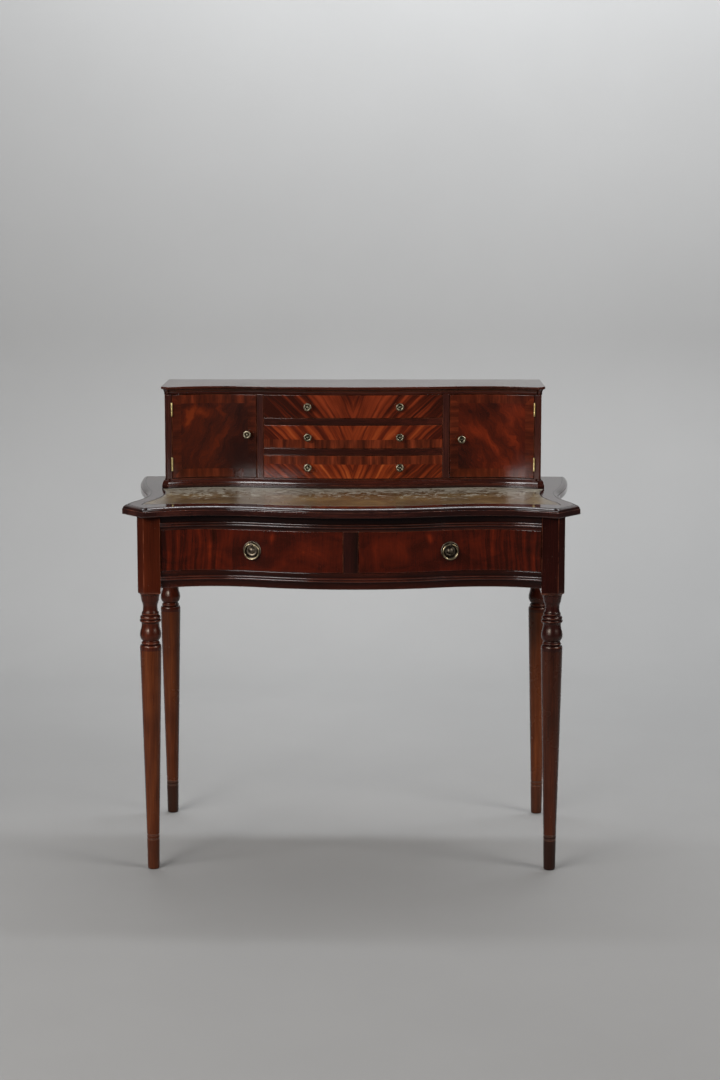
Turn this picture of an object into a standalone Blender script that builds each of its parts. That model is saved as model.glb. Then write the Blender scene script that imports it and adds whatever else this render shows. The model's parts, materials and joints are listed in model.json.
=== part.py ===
"""A lady's writing desk: a serpentine table with two drawers on four turned legs, a leather
writing surface, and a low gallery of two cupboards and three small drawers.
Sizes are in metres, +Z is up and the front faces -Y. The origin is on the floor, under the
middle of the top."""

import math

import bmesh
import bpy
from mathutils import Matrix, Vector

# Gaps between pieces
SEAT_GAP = 0.0003
RUNNING_GAP = 0.0008
DOOR_GAP = 0.0012
CUT_OVERRUN = 0.020
MERGE_DISTANCE = 0.00001

# Distance between the points of every curved front, so that neighbours share their facets
CURVE_PITCH = 0.020

# Table top
DESK_WIDTH = 0.915
DESK_DEPTH = 0.525
WRITING_HEIGHT = 0.737
TOP_THICKNESS = 0.018
TOP_BOW_DEPTH = 0.041
TOP_HOLLOW_FROM_SIDE = 0.1855
TOP_HOLLOW_RADIUS = 0.310
TOP_SHOULDER_RADIUS = 0.240
TOP_CORNER_FROM_SIDE = 0.0525
TOP_CANT_DEPTH = 0.064
SIDE_HOLLOW_FROM_FRONT = 0.225
SIDE_HOLLOW_DEPTH = 0.036
SIDE_HOLLOW_RADIUS = 0.290
SIDE_FRONT_CREST_FROM_FRONT = 0.053
SIDE_FRONT_CREST_INSET = 0.005
TOP_OVOLO_WIDTH = 0.008
TOP_OVOLO_HEIGHT = 0.0055
TOP_FILLET_LEDGE = 0.0012
TOP_FILLET_HEIGHT = 0.0015

# Leather let into the top
LEATHER_THICKNESS = 0.0012
LEATHER_FRONT_MARGIN = 0.043
LEATHER_SHOULDER_RADIUS = 0.600
LEATHER_SIDE_MARGIN = 0.038
LEATHER_CORNER_TRIES = 20

# Legs
LEG_SIDE_INSET = 0.0595
LEG_FRONT_INSET = 0.053
LEG_BACK_INSET = 0.035
LEG_BLOCK_WIDTH = 0.0465
LEG_BLOCK_CHAMFER = 0.0135
LEG_BLOCK_EASE_WIDTH = 0.0025
LEG_BLOCK_EASE_HEIGHT = 0.0040
LEG_BLOCK_DROP = 0.0110
LEG_TURNED_HEAD_HEIGHT = 0.1087
LEG_HEAD_RADIUS = 0.0211
LEG_SHAFT_RADIUS = 0.0214
LEG_ANKLE_RADIUS = 0.0127
LEG_FOOT_RADIUS = 0.0118
LEG_ANKLE_HEIGHT = 0.067
LEG_GROOVE_PITCH = 0.0085
LEG_GROOVE_WIDTH = 0.0022
LEG_GROOVE_DEPTH = 0.0012
LEG_FOOT_ROUNDING = 0.0030
LEG_SPIGOT_HEIGHT = 0.010
LEG_STEPS = 16

# Turned head of a leg, from the block down to the shaft: each pair is a share of
# LEG_HEAD_RADIUS and a share of LEG_TURNED_HEAD_HEIGHT
LEG_HEAD_SHARES = (
    (0.98, 1.000), (0.90, 0.972), (0.88, 0.930), (0.83, 0.872), (0.71, 0.803),
    (0.68, 0.750), (0.69, 0.700), (0.72, 0.660), (0.80, 0.637), (0.81, 0.615), (0.79, 0.592),
    (0.92, 0.572), (0.96, 0.545), (0.92, 0.520), (0.99, 0.508), (1.00, 0.490),
    (0.92, 0.462), (0.85, 0.430), (0.89, 0.365), (0.96, 0.298), (1.00, 0.240),
    (0.97, 0.188), (0.87, 0.143), (0.77, 0.120), (0.80, 0.098), (0.87, 0.079),
    (0.84, 0.055), (0.83, 0.042), (0.92, 0.030))

# Frieze: the rails round the two drawers
FRONT_OVERHANG = 0.024
TOP_RAIL_HEIGHT = 0.0298
DRAWER_OPENING_HEIGHT = 0.083
BOTTOM_RAIL_HEIGHT = 0.0322
RAIL_THICKNESS = 0.022
TOP_RAIL_LIP = 0.0055
BOTTOM_RAIL_LIP = 0.0090
REED_HEIGHT = 0.0048
REED_PROJECTION = 0.0020
REED_COUNT = 2
REED_FACETS = 4
STILE_WIDTH = 0.030
SIDE_RAIL_THICKNESS = 0.018
SIDE_RAIL_SETBACK = 0.002
BACK_RAIL_THICKNESS = 0.018
RUNNER_WIDTH = 0.020
RUNNER_THICKNESS = 0.014
GUIDE_HEIGHT = 0.030

# Drawers in the frieze
DRAWER_FRONT_THICKNESS = 0.018
DRAWER_SIDE_THICKNESS = 0.009
DRAWER_SIDE_HEIGHT = 0.072
DRAWER_BACK_CLEARANCE = 0.012
DRAWER_BOTTOM_THICKNESS = 0.006
DRAWER_BOTTOM_RISE = 0.008
DRAWER_GROOVE_DEPTH = 0.004

# Ring pulls of those drawers
PLATE_RADIUS = 0.0185
PLATE_DOME_HEIGHT = 0.0065
PLATE_STEPS = 20
RING_RADIUS = 0.01475
RING_WIRE_RADIUS = 0.00175
RING_PLANE = 0.0048
RING_DROP = 0.0020
RING_STEPS = 24
RING_WIRE_STEPS = 8
POST_RADIUS = 0.0031
POST_END_WALL = 0.0011
POST_EYE_CLEARANCE = 0.0005
POST_STEPS = 16

# Backplate, from the top of its dome outwards: shares of PLATE_RADIUS and PLATE_DOME_HEIGHT
PLATE_SHARES = (
    (0.00, 1.00), (0.14, 0.96), (0.27, 0.80), (0.36, 0.52), (0.42, 0.36), (0.50, 0.44),
    (0.58, 0.40), (0.63, 0.24), (0.78, 0.22), (0.87, 0.38), (0.95, 0.38), (1.00, 0.20))

# Gallery: the case on top
GALLERY_HEIGHT = 0.211
GALLERY_SIDE_INSET = 0.060
GALLERY_DEPTH = 0.198
GALLERY_BACK_INSET = 0.012
GALLERY_BOW_DEPTH = 0.029
GALLERY_HOLLOW_FROM_SIDE = 0.1245
GALLERY_HOLLOW_RADIUS = 0.310
GALLERY_SHOULDER_RADIUS = 0.228
GALLERY_CANT_WIDTH = 0.014
GALLERY_CANT_DEPTH = 0.014
GALLERY_MOULD_PROJECTION = 0.0075
PLINTH_HEIGHT = 0.0070
BASE_OVOLO_HEIGHT = 0.0092
BASE_FILLET_HEIGHT = 0.0028
CORNICE_FILLET_HEIGHT = 0.0050
CORNICE_COVE_HEIGHT = 0.0100
CORNICE_BED_HEIGHT = 0.0020
MOULD_LEDGE = 0.0010
GALLERY_SIDE_THICKNESS = 0.014
GALLERY_SIDE_CHAMFER = 0.004
GALLERY_DIVIDER_THICKNESS = 0.014
GALLERY_DIVIDER_X = 0.1933
GALLERY_BACK_THICKNESS = 0.006
GALLERY_RAIL_THICKNESS = 0.0142
MOULD_FACETS = 3

# Drawers in the gallery
SMALL_FRONT_THICKNESS = 0.012
SMALL_SIDE_THICKNESS = 0.007
SMALL_BOTTOM_THICKNESS = 0.004
SMALL_SIDE_HEIGHT = 0.040
SMALL_BACK_CLEARANCE = 0.006

# Doors of the gallery and their butt hinges
DOOR_THICKNESS = 0.015
DOOR_EDGE_EASE = 0.0026
HINGE_INSET = 0.029
HINGE_HEIGHT = 0.0276
HINGE_KNUCKLE_RADIUS = 0.0019
HINGE_PIN_RADIUS = 0.00075
HINGE_BORE_CLEARANCE = 0.0001
HINGE_LEAF_THICKNESS = 0.0009
HINGE_LEAF_DEPTH = 0.011
HINGE_STEPS = 10

# Turned knobs of the doors and the small drawers
KNOB_RADIUS = 0.0085
KNOB_LENGTH = 0.0150
KNOB_SPACING = 0.1885
KNOB_SHIFT = 0.00175
KNOB_STEPS = 12
LEFT_DOOR_KNOB_INSET = 0.0178
RIGHT_DOOR_KNOB_INSET = 0.0234
LEFT_DOOR_KNOB_RISE = 0.0898
RIGHT_DOOR_KNOB_RISE = 0.0800

# Knob, from the middle of its face round to its foot: shares of KNOB_RADIUS and KNOB_LENGTH
KNOB_SHARES = (
    (0.00, 1.00), (0.22, 1.00), (0.34, 0.93), (0.56, 0.93), (0.66, 0.99), (0.88, 0.96),
    (1.00, 0.85), (0.95, 0.72), (0.60, 0.55), (0.40, 0.42), (0.38, 0.22), (0.56, 0.09),
    (0.60, 0.00))

# Levels and lines that follow from the sizes above
TOP_FRONT_Y = -DESK_DEPTH / 2
TOP_BACK_Y = DESK_DEPTH / 2
TOP_HOLLOW_X = DESK_WIDTH / 2 - TOP_HOLLOW_FROM_SIDE
TOP_CORNER_X = DESK_WIDTH / 2 - TOP_CORNER_FROM_SIDE
SIDE_HOLLOW_Y = TOP_FRONT_Y + SIDE_HOLLOW_FROM_FRONT
TOP_UNDERSIDE = WRITING_HEIGHT - TOP_THICKNESS
OPENING_TOP = TOP_UNDERSIDE - TOP_RAIL_HEIGHT
OPENING_BOTTOM = OPENING_TOP - DRAWER_OPENING_HEIGHT
FRIEZE_BOTTOM = OPENING_BOTTOM - BOTTOM_RAIL_HEIGHT
BLOCK_BOTTOM = FRIEZE_BOTTOM - LEG_BLOCK_DROP
SHAFT_TOP = BLOCK_BOTTOM - LEG_TURNED_HEAD_HEIGHT
LEG_X = DESK_WIDTH / 2 - LEG_SIDE_INSET
LEG_FRONT_Y = TOP_FRONT_Y + LEG_FRONT_INSET
LEG_BACK_Y = TOP_BACK_Y - LEG_BACK_INSET
BLOCK_INNER_X = LEG_X - LEG_BLOCK_WIDTH / 2
BLOCK_OUTER_X = LEG_X + LEG_BLOCK_WIDTH / 2
SIDE_RAIL_OUTER_X = BLOCK_OUTER_X - SIDE_RAIL_SETBACK
SIDE_RAIL_INNER_X = SIDE_RAIL_OUTER_X - SIDE_RAIL_THICKNESS
RAILS_FRONT_Y = LEG_FRONT_Y + LEG_BLOCK_WIDTH / 2 + SEAT_GAP
RAILS_BACK_Y = LEG_BACK_Y - LEG_BLOCK_WIDTH / 2 - SEAT_GAP
BACK_RAIL_FRONT_Y = LEG_BACK_Y - BACK_RAIL_THICKNESS / 2
RUNNER_TOP = OPENING_BOTTOM

GALLERY_BOTTOM = WRITING_HEIGHT + SEAT_GAP
BASE_HEIGHT = PLINTH_HEIGHT + BASE_OVOLO_HEIGHT + BASE_FILLET_HEIGHT
CORNICE_HEIGHT = CORNICE_FILLET_HEIGHT + CORNICE_COVE_HEIGHT + CORNICE_BED_HEIGHT
CASE_BOTTOM = GALLERY_BOTTOM + BASE_HEIGHT
CASE_TOP = WRITING_HEIGHT + GALLERY_HEIGHT - CORNICE_HEIGHT
GALLERY_BACK_Y = TOP_BACK_Y - GALLERY_BACK_INSET
GALLERY_CREST_Y = GALLERY_BACK_Y - GALLERY_DEPTH
GALLERY_HALF_WIDTH = DESK_WIDTH / 2 - GALLERY_SIDE_INSET
GALLERY_HOLLOW_X = GALLERY_HALF_WIDTH - GALLERY_HOLLOW_FROM_SIDE
CASE_OUTER_X = GALLERY_HALF_WIDTH - GALLERY_MOULD_PROJECTION
CASE_INNER_X = CASE_OUTER_X - GALLERY_SIDE_THICKNESS
CASE_BACK_Y = GALLERY_BACK_Y - GALLERY_MOULD_PROJECTION / 2
CASE_BACK_INNER_Y = CASE_BACK_Y - GALLERY_BACK_THICKNESS
DIVIDER_INNER_X = GALLERY_DIVIDER_X - GALLERY_DIVIDER_THICKNESS / 2
DIVIDER_OUTER_X = GALLERY_DIVIDER_X + GALLERY_DIVIDER_THICKNESS / 2
SMALL_OPENING_HEIGHT = (CASE_TOP - CASE_BOTTOM - 2 * GALLERY_RAIL_THICKNESS) / 3

# Colour, roughness and metallic value of each finish
FINISHES = {
    "mahogany": ((0.130, 0.030, 0.014, 1.0), 0.28, 0.0),
    "flame_veneer": ((0.200, 0.048, 0.016, 1.0), 0.24, 0.0),
    "lining_wood": ((0.420, 0.270, 0.150, 1.0), 0.60, 0.0),
    "leather": ((0.150, 0.115, 0.050, 1.0), 0.42, 0.0),
    "brass": ((0.600, 0.440, 0.190, 1.0), 0.32, 1.0),
    "dull_brass": ((0.330, 0.270, 0.170, 1.0), 0.40, 1.0),
}


def serpentine(distance, hollow_distance, hollow_depth, hollow_radius, shoulder_radius):
    """Setback of a front that bows out at its crest and turns into a hollow, as two arcs
    that meet in line. Past the hollow's middle a third arc brings it forward again."""
    both_radii = (hollow_distance ** 2 + hollow_depth ** 2) / (2 * hollow_depth)
    crest_radius = both_radii - hollow_radius
    turning_distance = hollow_distance * crest_radius / both_radii
    if distance < turning_distance:
        return crest_radius - math.sqrt(crest_radius ** 2 - distance ** 2)
    from_hollow = distance - hollow_distance
    radius = shoulder_radius if from_hollow > 0 else hollow_radius
    return hollow_depth - radius + math.sqrt(radius ** 2 - from_hollow ** 2)


def top_front_y(x):
    """Front edge of the top."""
    return TOP_FRONT_Y + serpentine(
        abs(x), TOP_HOLLOW_X, TOP_BOW_DEPTH, TOP_HOLLOW_RADIUS, TOP_SHOULDER_RADIUS)


def leather_front_y(x):
    """Front edge of the leather, whose shoulders stay further back than those of the top."""
    return TOP_FRONT_Y + LEATHER_FRONT_MARGIN + serpentine(
        abs(x), TOP_HOLLOW_X, TOP_BOW_DEPTH, TOP_HOLLOW_RADIUS, LEATHER_SHOULDER_RADIUS)


def frieze_y(x):
    """Face of the drawers and rails below the top."""
    return top_front_y(x) + FRONT_OVERHANG


def gallery_front_y(x):
    """Front edge of the gallery's base and cornice."""
    return GALLERY_CREST_Y + serpentine(
        abs(x), GALLERY_HOLLOW_X, GALLERY_BOW_DEPTH, GALLERY_HOLLOW_RADIUS,
        GALLERY_SHOULDER_RADIUS)


def case_y(x):
    """Face of the gallery's doors and drawers."""
    return gallery_front_y(x) + GALLERY_MOULD_PROJECTION


def top_side_x(y):
    """Right-hand edge of the top: full width at the back, a hollow, and a front crest."""
    if y > SIDE_HOLLOW_Y:
        return DESK_WIDTH / 2 - serpentine(
            TOP_BACK_Y - y, TOP_BACK_Y - SIDE_HOLLOW_Y, SIDE_HOLLOW_DEPTH, SIDE_HOLLOW_RADIUS,
            SIDE_HOLLOW_RADIUS)
    crest_y = TOP_FRONT_Y + SIDE_FRONT_CREST_FROM_FRONT
    crest_x = DESK_WIDTH / 2 - SIDE_FRONT_CREST_INSET
    return crest_x - serpentine(
        abs(y - crest_y), SIDE_HOLLOW_Y - crest_y, SIDE_HOLLOW_DEPTH - SIDE_FRONT_CREST_INSET,
        SIDE_HOLLOW_RADIUS, SIDE_HOLLOW_RADIUS)


def face_slope(line, x):
    """Angle by which a front turns from the X axis at x."""
    return math.atan2(line(x + CURVE_PITCH) - line(x - CURVE_PITCH), 2 * CURVE_PITCH)


def stations(start, end):
    """Points from start to end, on one grid between them."""
    first = math.floor(start / CURVE_PITCH) + 1
    last = math.ceil(end / CURVE_PITCH) - 1
    return [start] + [step * CURVE_PITCH for step in range(first, last + 1)] + [end]


def front_line(line, start, end, setback=0.0):
    """Plan points along a curved front, moved back by the setback."""
    return [(x, line(x) + setback) for x in stations(start, end)]


def new_collection(name):
    collection = bpy.data.collections.new(name)
    bpy.context.scene.collection.children.link(collection)
    return collection


def make_material(name):
    colour, roughness, metallic = FINISHES[name]
    material = bpy.data.materials.new(name)
    material.use_nodes = True
    shader = material.node_tree.nodes["Principled BSDF"]
    shader.inputs["Base Color"].default_value = colour
    shader.inputs["Roughness"].default_value = roughness
    shader.inputs["Metallic"].default_value = metallic
    material.diffuse_color = colour
    return material


def mesh_from(name, shape):
    mesh = bpy.data.meshes.new(name)
    shape.to_mesh(mesh)
    shape.free()
    return mesh


def add_piece(name, mesh, finish):
    """One sub-part of the desk, with a material of its own."""
    piece = bpy.data.objects.new(name, mesh)
    PARTS.objects.link(piece)
    if not mesh.materials:
        mesh.materials.append(make_material(finish))
    return piece


def add_cutter(name, mesh):
    cutter = bpy.data.objects.new(name, mesh)
    CUTTERS.objects.link(cutter)
    cutter.hide_render = True
    cutter.display_type = "WIRE"
    return cutter


def combine(piece, tool, operation):
    """Cuts the tool out of the piece, or joins it on."""
    modifier = piece.modifiers.new(tool.name, "BOOLEAN")
    modifier.operation = operation
    modifier.solver = "EXACT"
    modifier.object = tool


def hang_on(name, location, pieces):
    """Puts pieces that move together under an empty on their joint's axis."""
    empty = bpy.data.objects.new(name, None)
    PARTS.objects.link(empty)
    empty.location = location
    for piece in pieces:
        piece.parent = empty
        piece.matrix_parent_inverse = Matrix.Translation(location).inverted()


def drawn_out(shape, face, move):
    """Draws a face out along a move and gives back the new end face."""
    grown = bmesh.ops.extrude_face_region(shape, geom=[face] + face.edges[:])
    vertices = [item for item in grown["geom"] if isinstance(item, bmesh.types.BMVert)]
    bmesh.ops.translate(shape, vec=move, verts=vertices)
    return next(item for item in grown["geom"] if isinstance(item, bmesh.types.BMFace))


def swept(section, path):
    """A section carried along a path, without turning."""
    shape = bmesh.new()
    face = shape.faces.new([shape.verts.new(path[0] + point) for point in section])
    for start, end in zip(path, path[1:]):
        face = drawn_out(shape, face, end - start)
    bmesh.ops.recalc_face_normals(shape, faces=shape.faces)
    return shape


def board(outline, low, high):
    """A plan outline given a height."""
    section = [Vector((x, y, 0)) for x, y in outline]
    return swept(section, [Vector((0, 0, low)), Vector((0, 0, high))])


def box(low, high):
    outline = [(low[0], low[1]), (high[0], low[1]), (high[0], high[1]), (low[0], high[1])]
    return board(outline, low[2], high[2])


def mirrored(outline):
    """A plan outline reflected to the left-hand side."""
    return [(-x, y) for x, y in reversed(outline)]


def sided(outline, side):
    return outline if side > 0 else mirrored(outline)


def stepped(outline, low, steps):
    """A board whose edge goes inwards as it rises. Each step is how far it goes in and how
    far it rises."""
    shape = bmesh.new()
    face = shape.faces.new([shape.verts.new((x, y, low)) for x, y in outline])
    for inset, rise in steps:
        if inset > 0:
            bmesh.ops.inset_region(shape, faces=[face], thickness=inset, use_even_offset=True)
            bmesh.ops.translate(shape, vec=(0, 0, rise), verts=face.verts[:])
        else:
            face = drawn_out(shape, face, (0, 0, rise))
    bmesh.ops.recalc_face_normals(shape, faces=shape.faces)
    return shape


def moulded_board(outline, low, steps, back_y):
    """A stepped board, cut off square at the back."""
    shape = stepped(outline, low, steps)
    cut = bmesh.ops.bisect_plane(
        shape, geom=shape.verts[:] + shape.edges[:] + shape.faces[:], plane_co=(0, back_y, 0),
        plane_no=(0, 1, 0), clear_outer=True, dist=MERGE_DISTANCE)
    rim = [item for item in cut["geom_cut"] if isinstance(item, bmesh.types.BMEdge)]
    bmesh.ops.contextual_create(shape, geom=rim)
    bmesh.ops.recalc_face_normals(shape, faces=shape.faces)
    return shape


def ovolo_steps(width, height, facets):
    """A quarter round that starts upright and ends level."""
    angles = [math.pi / 2 * step / facets for step in range(facets + 1)]
    return [(width * (math.cos(a) - math.cos(b)), height * (math.sin(b) - math.sin(a)))
            for a, b in zip(angles, angles[1:])]


def cove_steps(width, height, facets):
    """A hollow quarter round that starts level and ends upright."""
    angles = [math.pi / 2 * step / facets for step in range(facets + 1)]
    return [(width * (math.sin(b) - math.sin(a)), height * (math.cos(a) - math.cos(b)))
            for a, b in zip(angles, angles[1:])]


def upside_down(shape, low, high):
    """Turns a shape over between two levels."""
    shape.transform(Matrix.Translation((0, 0, low + high)) @ Matrix.Diagonal((1, 1, -1, 1)))
    bmesh.ops.reverse_faces(shape, faces=shape.faces)
    return shape


def turned(name, profile, steps):
    """Mesh and Screw modifier of a turned shape. The profile runs from top to bottom."""
    mesh = bpy.data.meshes.new(name)
    points = [(radius, 0, height) for radius, height in profile]
    mesh.from_pydata(points, [(i, i + 1) for i in range(len(points) - 1)], [])
    return mesh, steps


def add_screw(piece, steps):
    screw = piece.modifiers.new("turning", "SCREW")
    screw.axis = "Z"
    screw.steps = steps
    screw.render_steps = steps
    screw.use_merge_vertices = True
    screw.merge_threshold = MERGE_DISTANCE
    screw.use_smooth_shade = True


def shared_profile(shares, radius, height):
    """Profile points from shares, closed at the foot on the axis."""
    points = [(radius * r, height * h) for r, h in shares]
    return points + [(0, points[-1][1])]


def rod(radius, low, high, steps):
    """An upright round bar."""
    shape = bmesh.new()
    bmesh.ops.create_cone(
        shape, cap_ends=True, segments=steps, radius1=radius, radius2=radius,
        depth=high - low, matrix=Matrix.Translation((0, 0, (low + high) / 2)))
    return shape


# Outlines of the top and the leather

def top_outline():
    front = front_line(top_front_y, -TOP_CORNER_X, TOP_CORNER_X)
    cant_y = TOP_FRONT_Y + TOP_CANT_DEPTH
    right = [(top_side_x(y), y) for y in stations(cant_y, TOP_BACK_Y)]
    right.append((DESK_WIDTH / 2, TOP_BACK_Y + CUT_OVERRUN))
    return front + right + mirrored(right)


def leather_outline(grow):
    """The sides keep a margin to the edge of the top. The back follows the gallery's base."""
    side_margin = LEATHER_SIDE_MARGIN - grow
    corner_x = TOP_CORNER_X
    for _ in range(LEATHER_CORNER_TRIES):
        corner_y = leather_front_y(corner_x) - grow
        corner_x = top_side_x(corner_y) - side_margin
    front = front_line(leather_front_y, -corner_x, corner_x, -grow)
    back_x = GALLERY_HALF_WIDTH - GALLERY_CANT_WIDTH
    back = front_line(gallery_front_y, -back_x, back_x, grow - SEAT_GAP)
    back_y = back[-1][1]
    right = [(top_side_x(y) - side_margin, y) for y in stations(corner_y, back_y)][1:]
    return front + right + back[::-1] + mirrored(right)


def build_top():
    edge = [(0, TOP_THICKNESS - TOP_OVOLO_HEIGHT - TOP_FILLET_HEIGHT), (TOP_FILLET_LEDGE, 0)]
    edge += [(0, TOP_FILLET_HEIGHT)]
    edge += ovolo_steps(TOP_OVOLO_WIDTH, TOP_OVOLO_HEIGHT, MOULD_FACETS)
    shape = moulded_board(top_outline(), TOP_UNDERSIDE, edge, TOP_BACK_Y)
    top = add_piece("desk_top", mesh_from("desk_top", shape), "mahogany")

    recess_floor = WRITING_HEIGHT - LEATHER_THICKNESS - SEAT_GAP
    recess = board(leather_outline(SEAT_GAP), recess_floor, WRITING_HEIGHT + CUT_OVERRUN)
    combine(top, add_cutter("leather_recess", mesh_from("leather_recess", recess)), "DIFFERENCE")

    leather = board(leather_outline(0), WRITING_HEIGHT - LEATHER_THICKNESS, WRITING_HEIGHT)
    add_piece("leather_inset", mesh_from("leather_inset", leather), "leather")


# Legs

def leg_profile():
    """Spigot in the block, turned head, tapered shaft with grooves, and foot."""
    spigot_radius = LEG_HEAD_RADIUS * LEG_HEAD_SHARES[0][0]
    spigot_top = BLOCK_BOTTOM + LEG_SPIGOT_HEIGHT
    points = [(0, spigot_top), (spigot_radius, spigot_top)]
    points += [(LEG_HEAD_RADIUS * r, SHAFT_TOP + LEG_TURNED_HEAD_HEIGHT * h)
               for r, h in LEG_HEAD_SHARES]
    points.append((LEG_SHAFT_RADIUS, SHAFT_TOP))
    for level in (LEG_ANKLE_HEIGHT + LEG_GROOVE_PITCH / 2, LEG_ANKLE_HEIGHT - LEG_GROOVE_PITCH / 2):
        points += [(LEG_ANKLE_RADIUS, level + LEG_GROOVE_WIDTH / 2),
                   (LEG_ANKLE_RADIUS - LEG_GROOVE_DEPTH, level),
                   (LEG_ANKLE_RADIUS, level - LEG_GROOVE_WIDTH / 2)]
    points += [(LEG_FOOT_RADIUS, LEG_FOOT_ROUNDING),
               (LEG_FOOT_RADIUS - LEG_FOOT_ROUNDING, 0), (0, 0)]
    return points


def leg_block(side, is_front):
    """Square head of a leg. The front legs have their outer corner canted."""
    half = LEG_BLOCK_WIDTH / 2
    outline = [(-half, -half), (half, -half), (half, half), (-half, half)]
    if is_front:
        outline[1:2] = [(half - LEG_BLOCK_CHAMFER, -half), (half, LEG_BLOCK_CHAMFER - half)]
    block_top = TOP_UNDERSIDE - SEAT_GAP
    steps = [(0, block_top - BLOCK_BOTTOM - LEG_BLOCK_EASE_HEIGHT),
             (LEG_BLOCK_EASE_WIDTH, LEG_BLOCK_EASE_HEIGHT)]
    shape = stepped(sided(outline, side), BLOCK_BOTTOM, steps)
    return upside_down(shape, BLOCK_BOTTOM, block_top)


def build_leg(name, side, is_front):
    mesh, steps = turned(name, leg_profile(), LEG_STEPS)
    leg = add_piece(name, mesh, "mahogany")
    leg.location = (side * LEG_X, LEG_FRONT_Y if is_front else LEG_BACK_Y, 0)
    add_screw(leg, steps)
    block = add_cutter(name + "_block", mesh_from(name + "_block", leg_block(side, is_front)))
    block.location = leg.location
    combine(leg, block, "UNION")


# Rails of the frieze

def reeded_section(low, high, reeds_from_low, thickness):
    """Rail section with a pair of half-round reeds on its face. The first value of each
    point is how far it stands out from the face, the second its level."""
    reeds_low = low + TOP_RAIL_LIP
    if not reeds_from_low:
        reeds_low = high - BOTTOM_RAIL_LIP - REED_COUNT * REED_HEIGHT
    points = [(-thickness, high), (-thickness, low), (0, low)]
    for reed in range(REED_COUNT):
        middle = reeds_low + REED_HEIGHT * (reed + 1 / 2)
        angles = [math.pi * step / REED_FACETS - math.pi / 2 for step in range(REED_FACETS + 1)]
        start = 1 if reed else 0
        points += [(REED_PROJECTION * math.cos(angle), middle + REED_HEIGHT / 2 * math.sin(angle))
                   for angle in angles[start:]]
    return points + [(0, high)]


def build_front_rail(name, low, high, reeds_from_low):
    section = [Vector((0, -out, level))
               for out, level in reeded_section(low, high, reeds_from_low, RAIL_THICKNESS)]
    reach = BLOCK_INNER_X - SEAT_GAP
    path = [Vector((x, frieze_y(x), 0)) for x in stations(-reach, reach)]
    add_piece(name, mesh_from(name, swept(section, path)), "mahogany")


def build_side_rail(name, side):
    """Plain panel with the reeds of the lower front rail carried round."""
    levels = reeded_section(FRIEZE_BOTTOM, OPENING_BOTTOM, False, SIDE_RAIL_THICKNESS)
    top = TOP_UNDERSIDE - SEAT_GAP
    section = [Vector((side * out, 0, top if level == OPENING_BOTTOM else level))
               for out, level in levels]
    path = [Vector((side * SIDE_RAIL_OUTER_X, y, 0)) for y in (RAILS_FRONT_Y, RAILS_BACK_Y)]
    add_piece(name, mesh_from(name, swept(section, path)), "mahogany")


def build_back_rail():
    reach = BLOCK_INNER_X - SEAT_GAP
    shape = box((-reach, BACK_RAIL_FRONT_Y, FRIEZE_BOTTOM),
                (reach, BACK_RAIL_FRONT_Y + BACK_RAIL_THICKNESS, TOP_UNDERSIDE - SEAT_GAP))
    add_piece("back_rail", mesh_from("back_rail", shape), "mahogany")


def build_centre_stile():
    half = STILE_WIDTH / 2
    outline = front_line(frieze_y, -half, half)
    outline += front_line(frieze_y, -half, half, RAIL_THICKNESS)[::-1]
    shape = board(outline, OPENING_BOTTOM + SEAT_GAP, OPENING_TOP - SEAT_GAP)
    add_piece("centre_stile", mesh_from("centre_stile", shape), "mahogany")


def build_runners():
    """The drawers' sides slide on these, and a fin or a wall keeps them straight."""
    back_y = BACK_RAIL_FRONT_Y - SEAT_GAP
    low = RUNNER_TOP - RUNNER_THICKNESS
    guide_top = RUNNER_TOP + GUIDE_HEIGHT
    fin = STILE_WIDTH / 2
    foot = fin + RUNNER_WIDTH
    tee = [(-foot, low), (foot, low), (foot, RUNNER_TOP), (fin, RUNNER_TOP), (fin, guide_top),
           (-fin, guide_top), (-fin, RUNNER_TOP), (-foot, RUNNER_TOP)]
    rail_back_y = frieze_y(foot) + RAIL_THICKNESS + SEAT_GAP
    path = [Vector((0, y, 0)) for y in (rail_back_y, back_y)]
    shape = swept([Vector((x, 0, z)) for x, z in tee], path)
    add_piece("centre_runner", mesh_from("centre_runner", shape), "lining_wood")

    inner = BLOCK_INNER_X - RUNNER_WIDTH
    outer = SIDE_RAIL_INNER_X - SEAT_GAP
    angle = [(inner, low), (outer, low), (outer, guide_top), (BLOCK_INNER_X, guide_top),
             (BLOCK_INNER_X, RUNNER_TOP), (inner, RUNNER_TOP)]
    path = [Vector((0, y, 0)) for y in (RAILS_FRONT_Y, RAILS_BACK_Y)]
    for side, name in ((-1, "side_runner_left"), (1, "side_runner_right")):
        section = [Vector((side * x, 0, z)) for x, z in angle]
        add_piece(name, mesh_from(name, swept(section, path)), "lining_wood")


def build_kicker():
    """Strip above the drawers' inner sides, which keeps an open drawer from tipping."""
    half = STILE_WIDTH / 2 + DRAWER_SIDE_THICKNESS
    low = RUNNER_TOP + SEAT_GAP + DRAWER_SIDE_HEIGHT + RUNNING_GAP
    front_y = frieze_y(half) + RAIL_THICKNESS + SEAT_GAP
    shape = box((-half, front_y, low), (half, BACK_RAIL_FRONT_Y - SEAT_GAP, TOP_UNDERSIDE - SEAT_GAP))
    add_piece("centre_kicker", mesh_from("centre_kicker", shape), "lining_wood")


# Drawers of the frieze

DRAWER_INNER_X = STILE_WIDTH / 2 + RUNNING_GAP
DRAWER_OUTER_X = BLOCK_INNER_X - RUNNING_GAP
DRAWER_BACK_Y = BACK_RAIL_FRONT_Y - DRAWER_BACK_CLEARANCE
DRAWER_SIDE_BOTTOM = RUNNER_TOP + SEAT_GAP
PULL_X = (DRAWER_INNER_X + DRAWER_OUTER_X) / 2
PULL_Z = (OPENING_BOTTOM + OPENING_TOP) / 2


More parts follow.
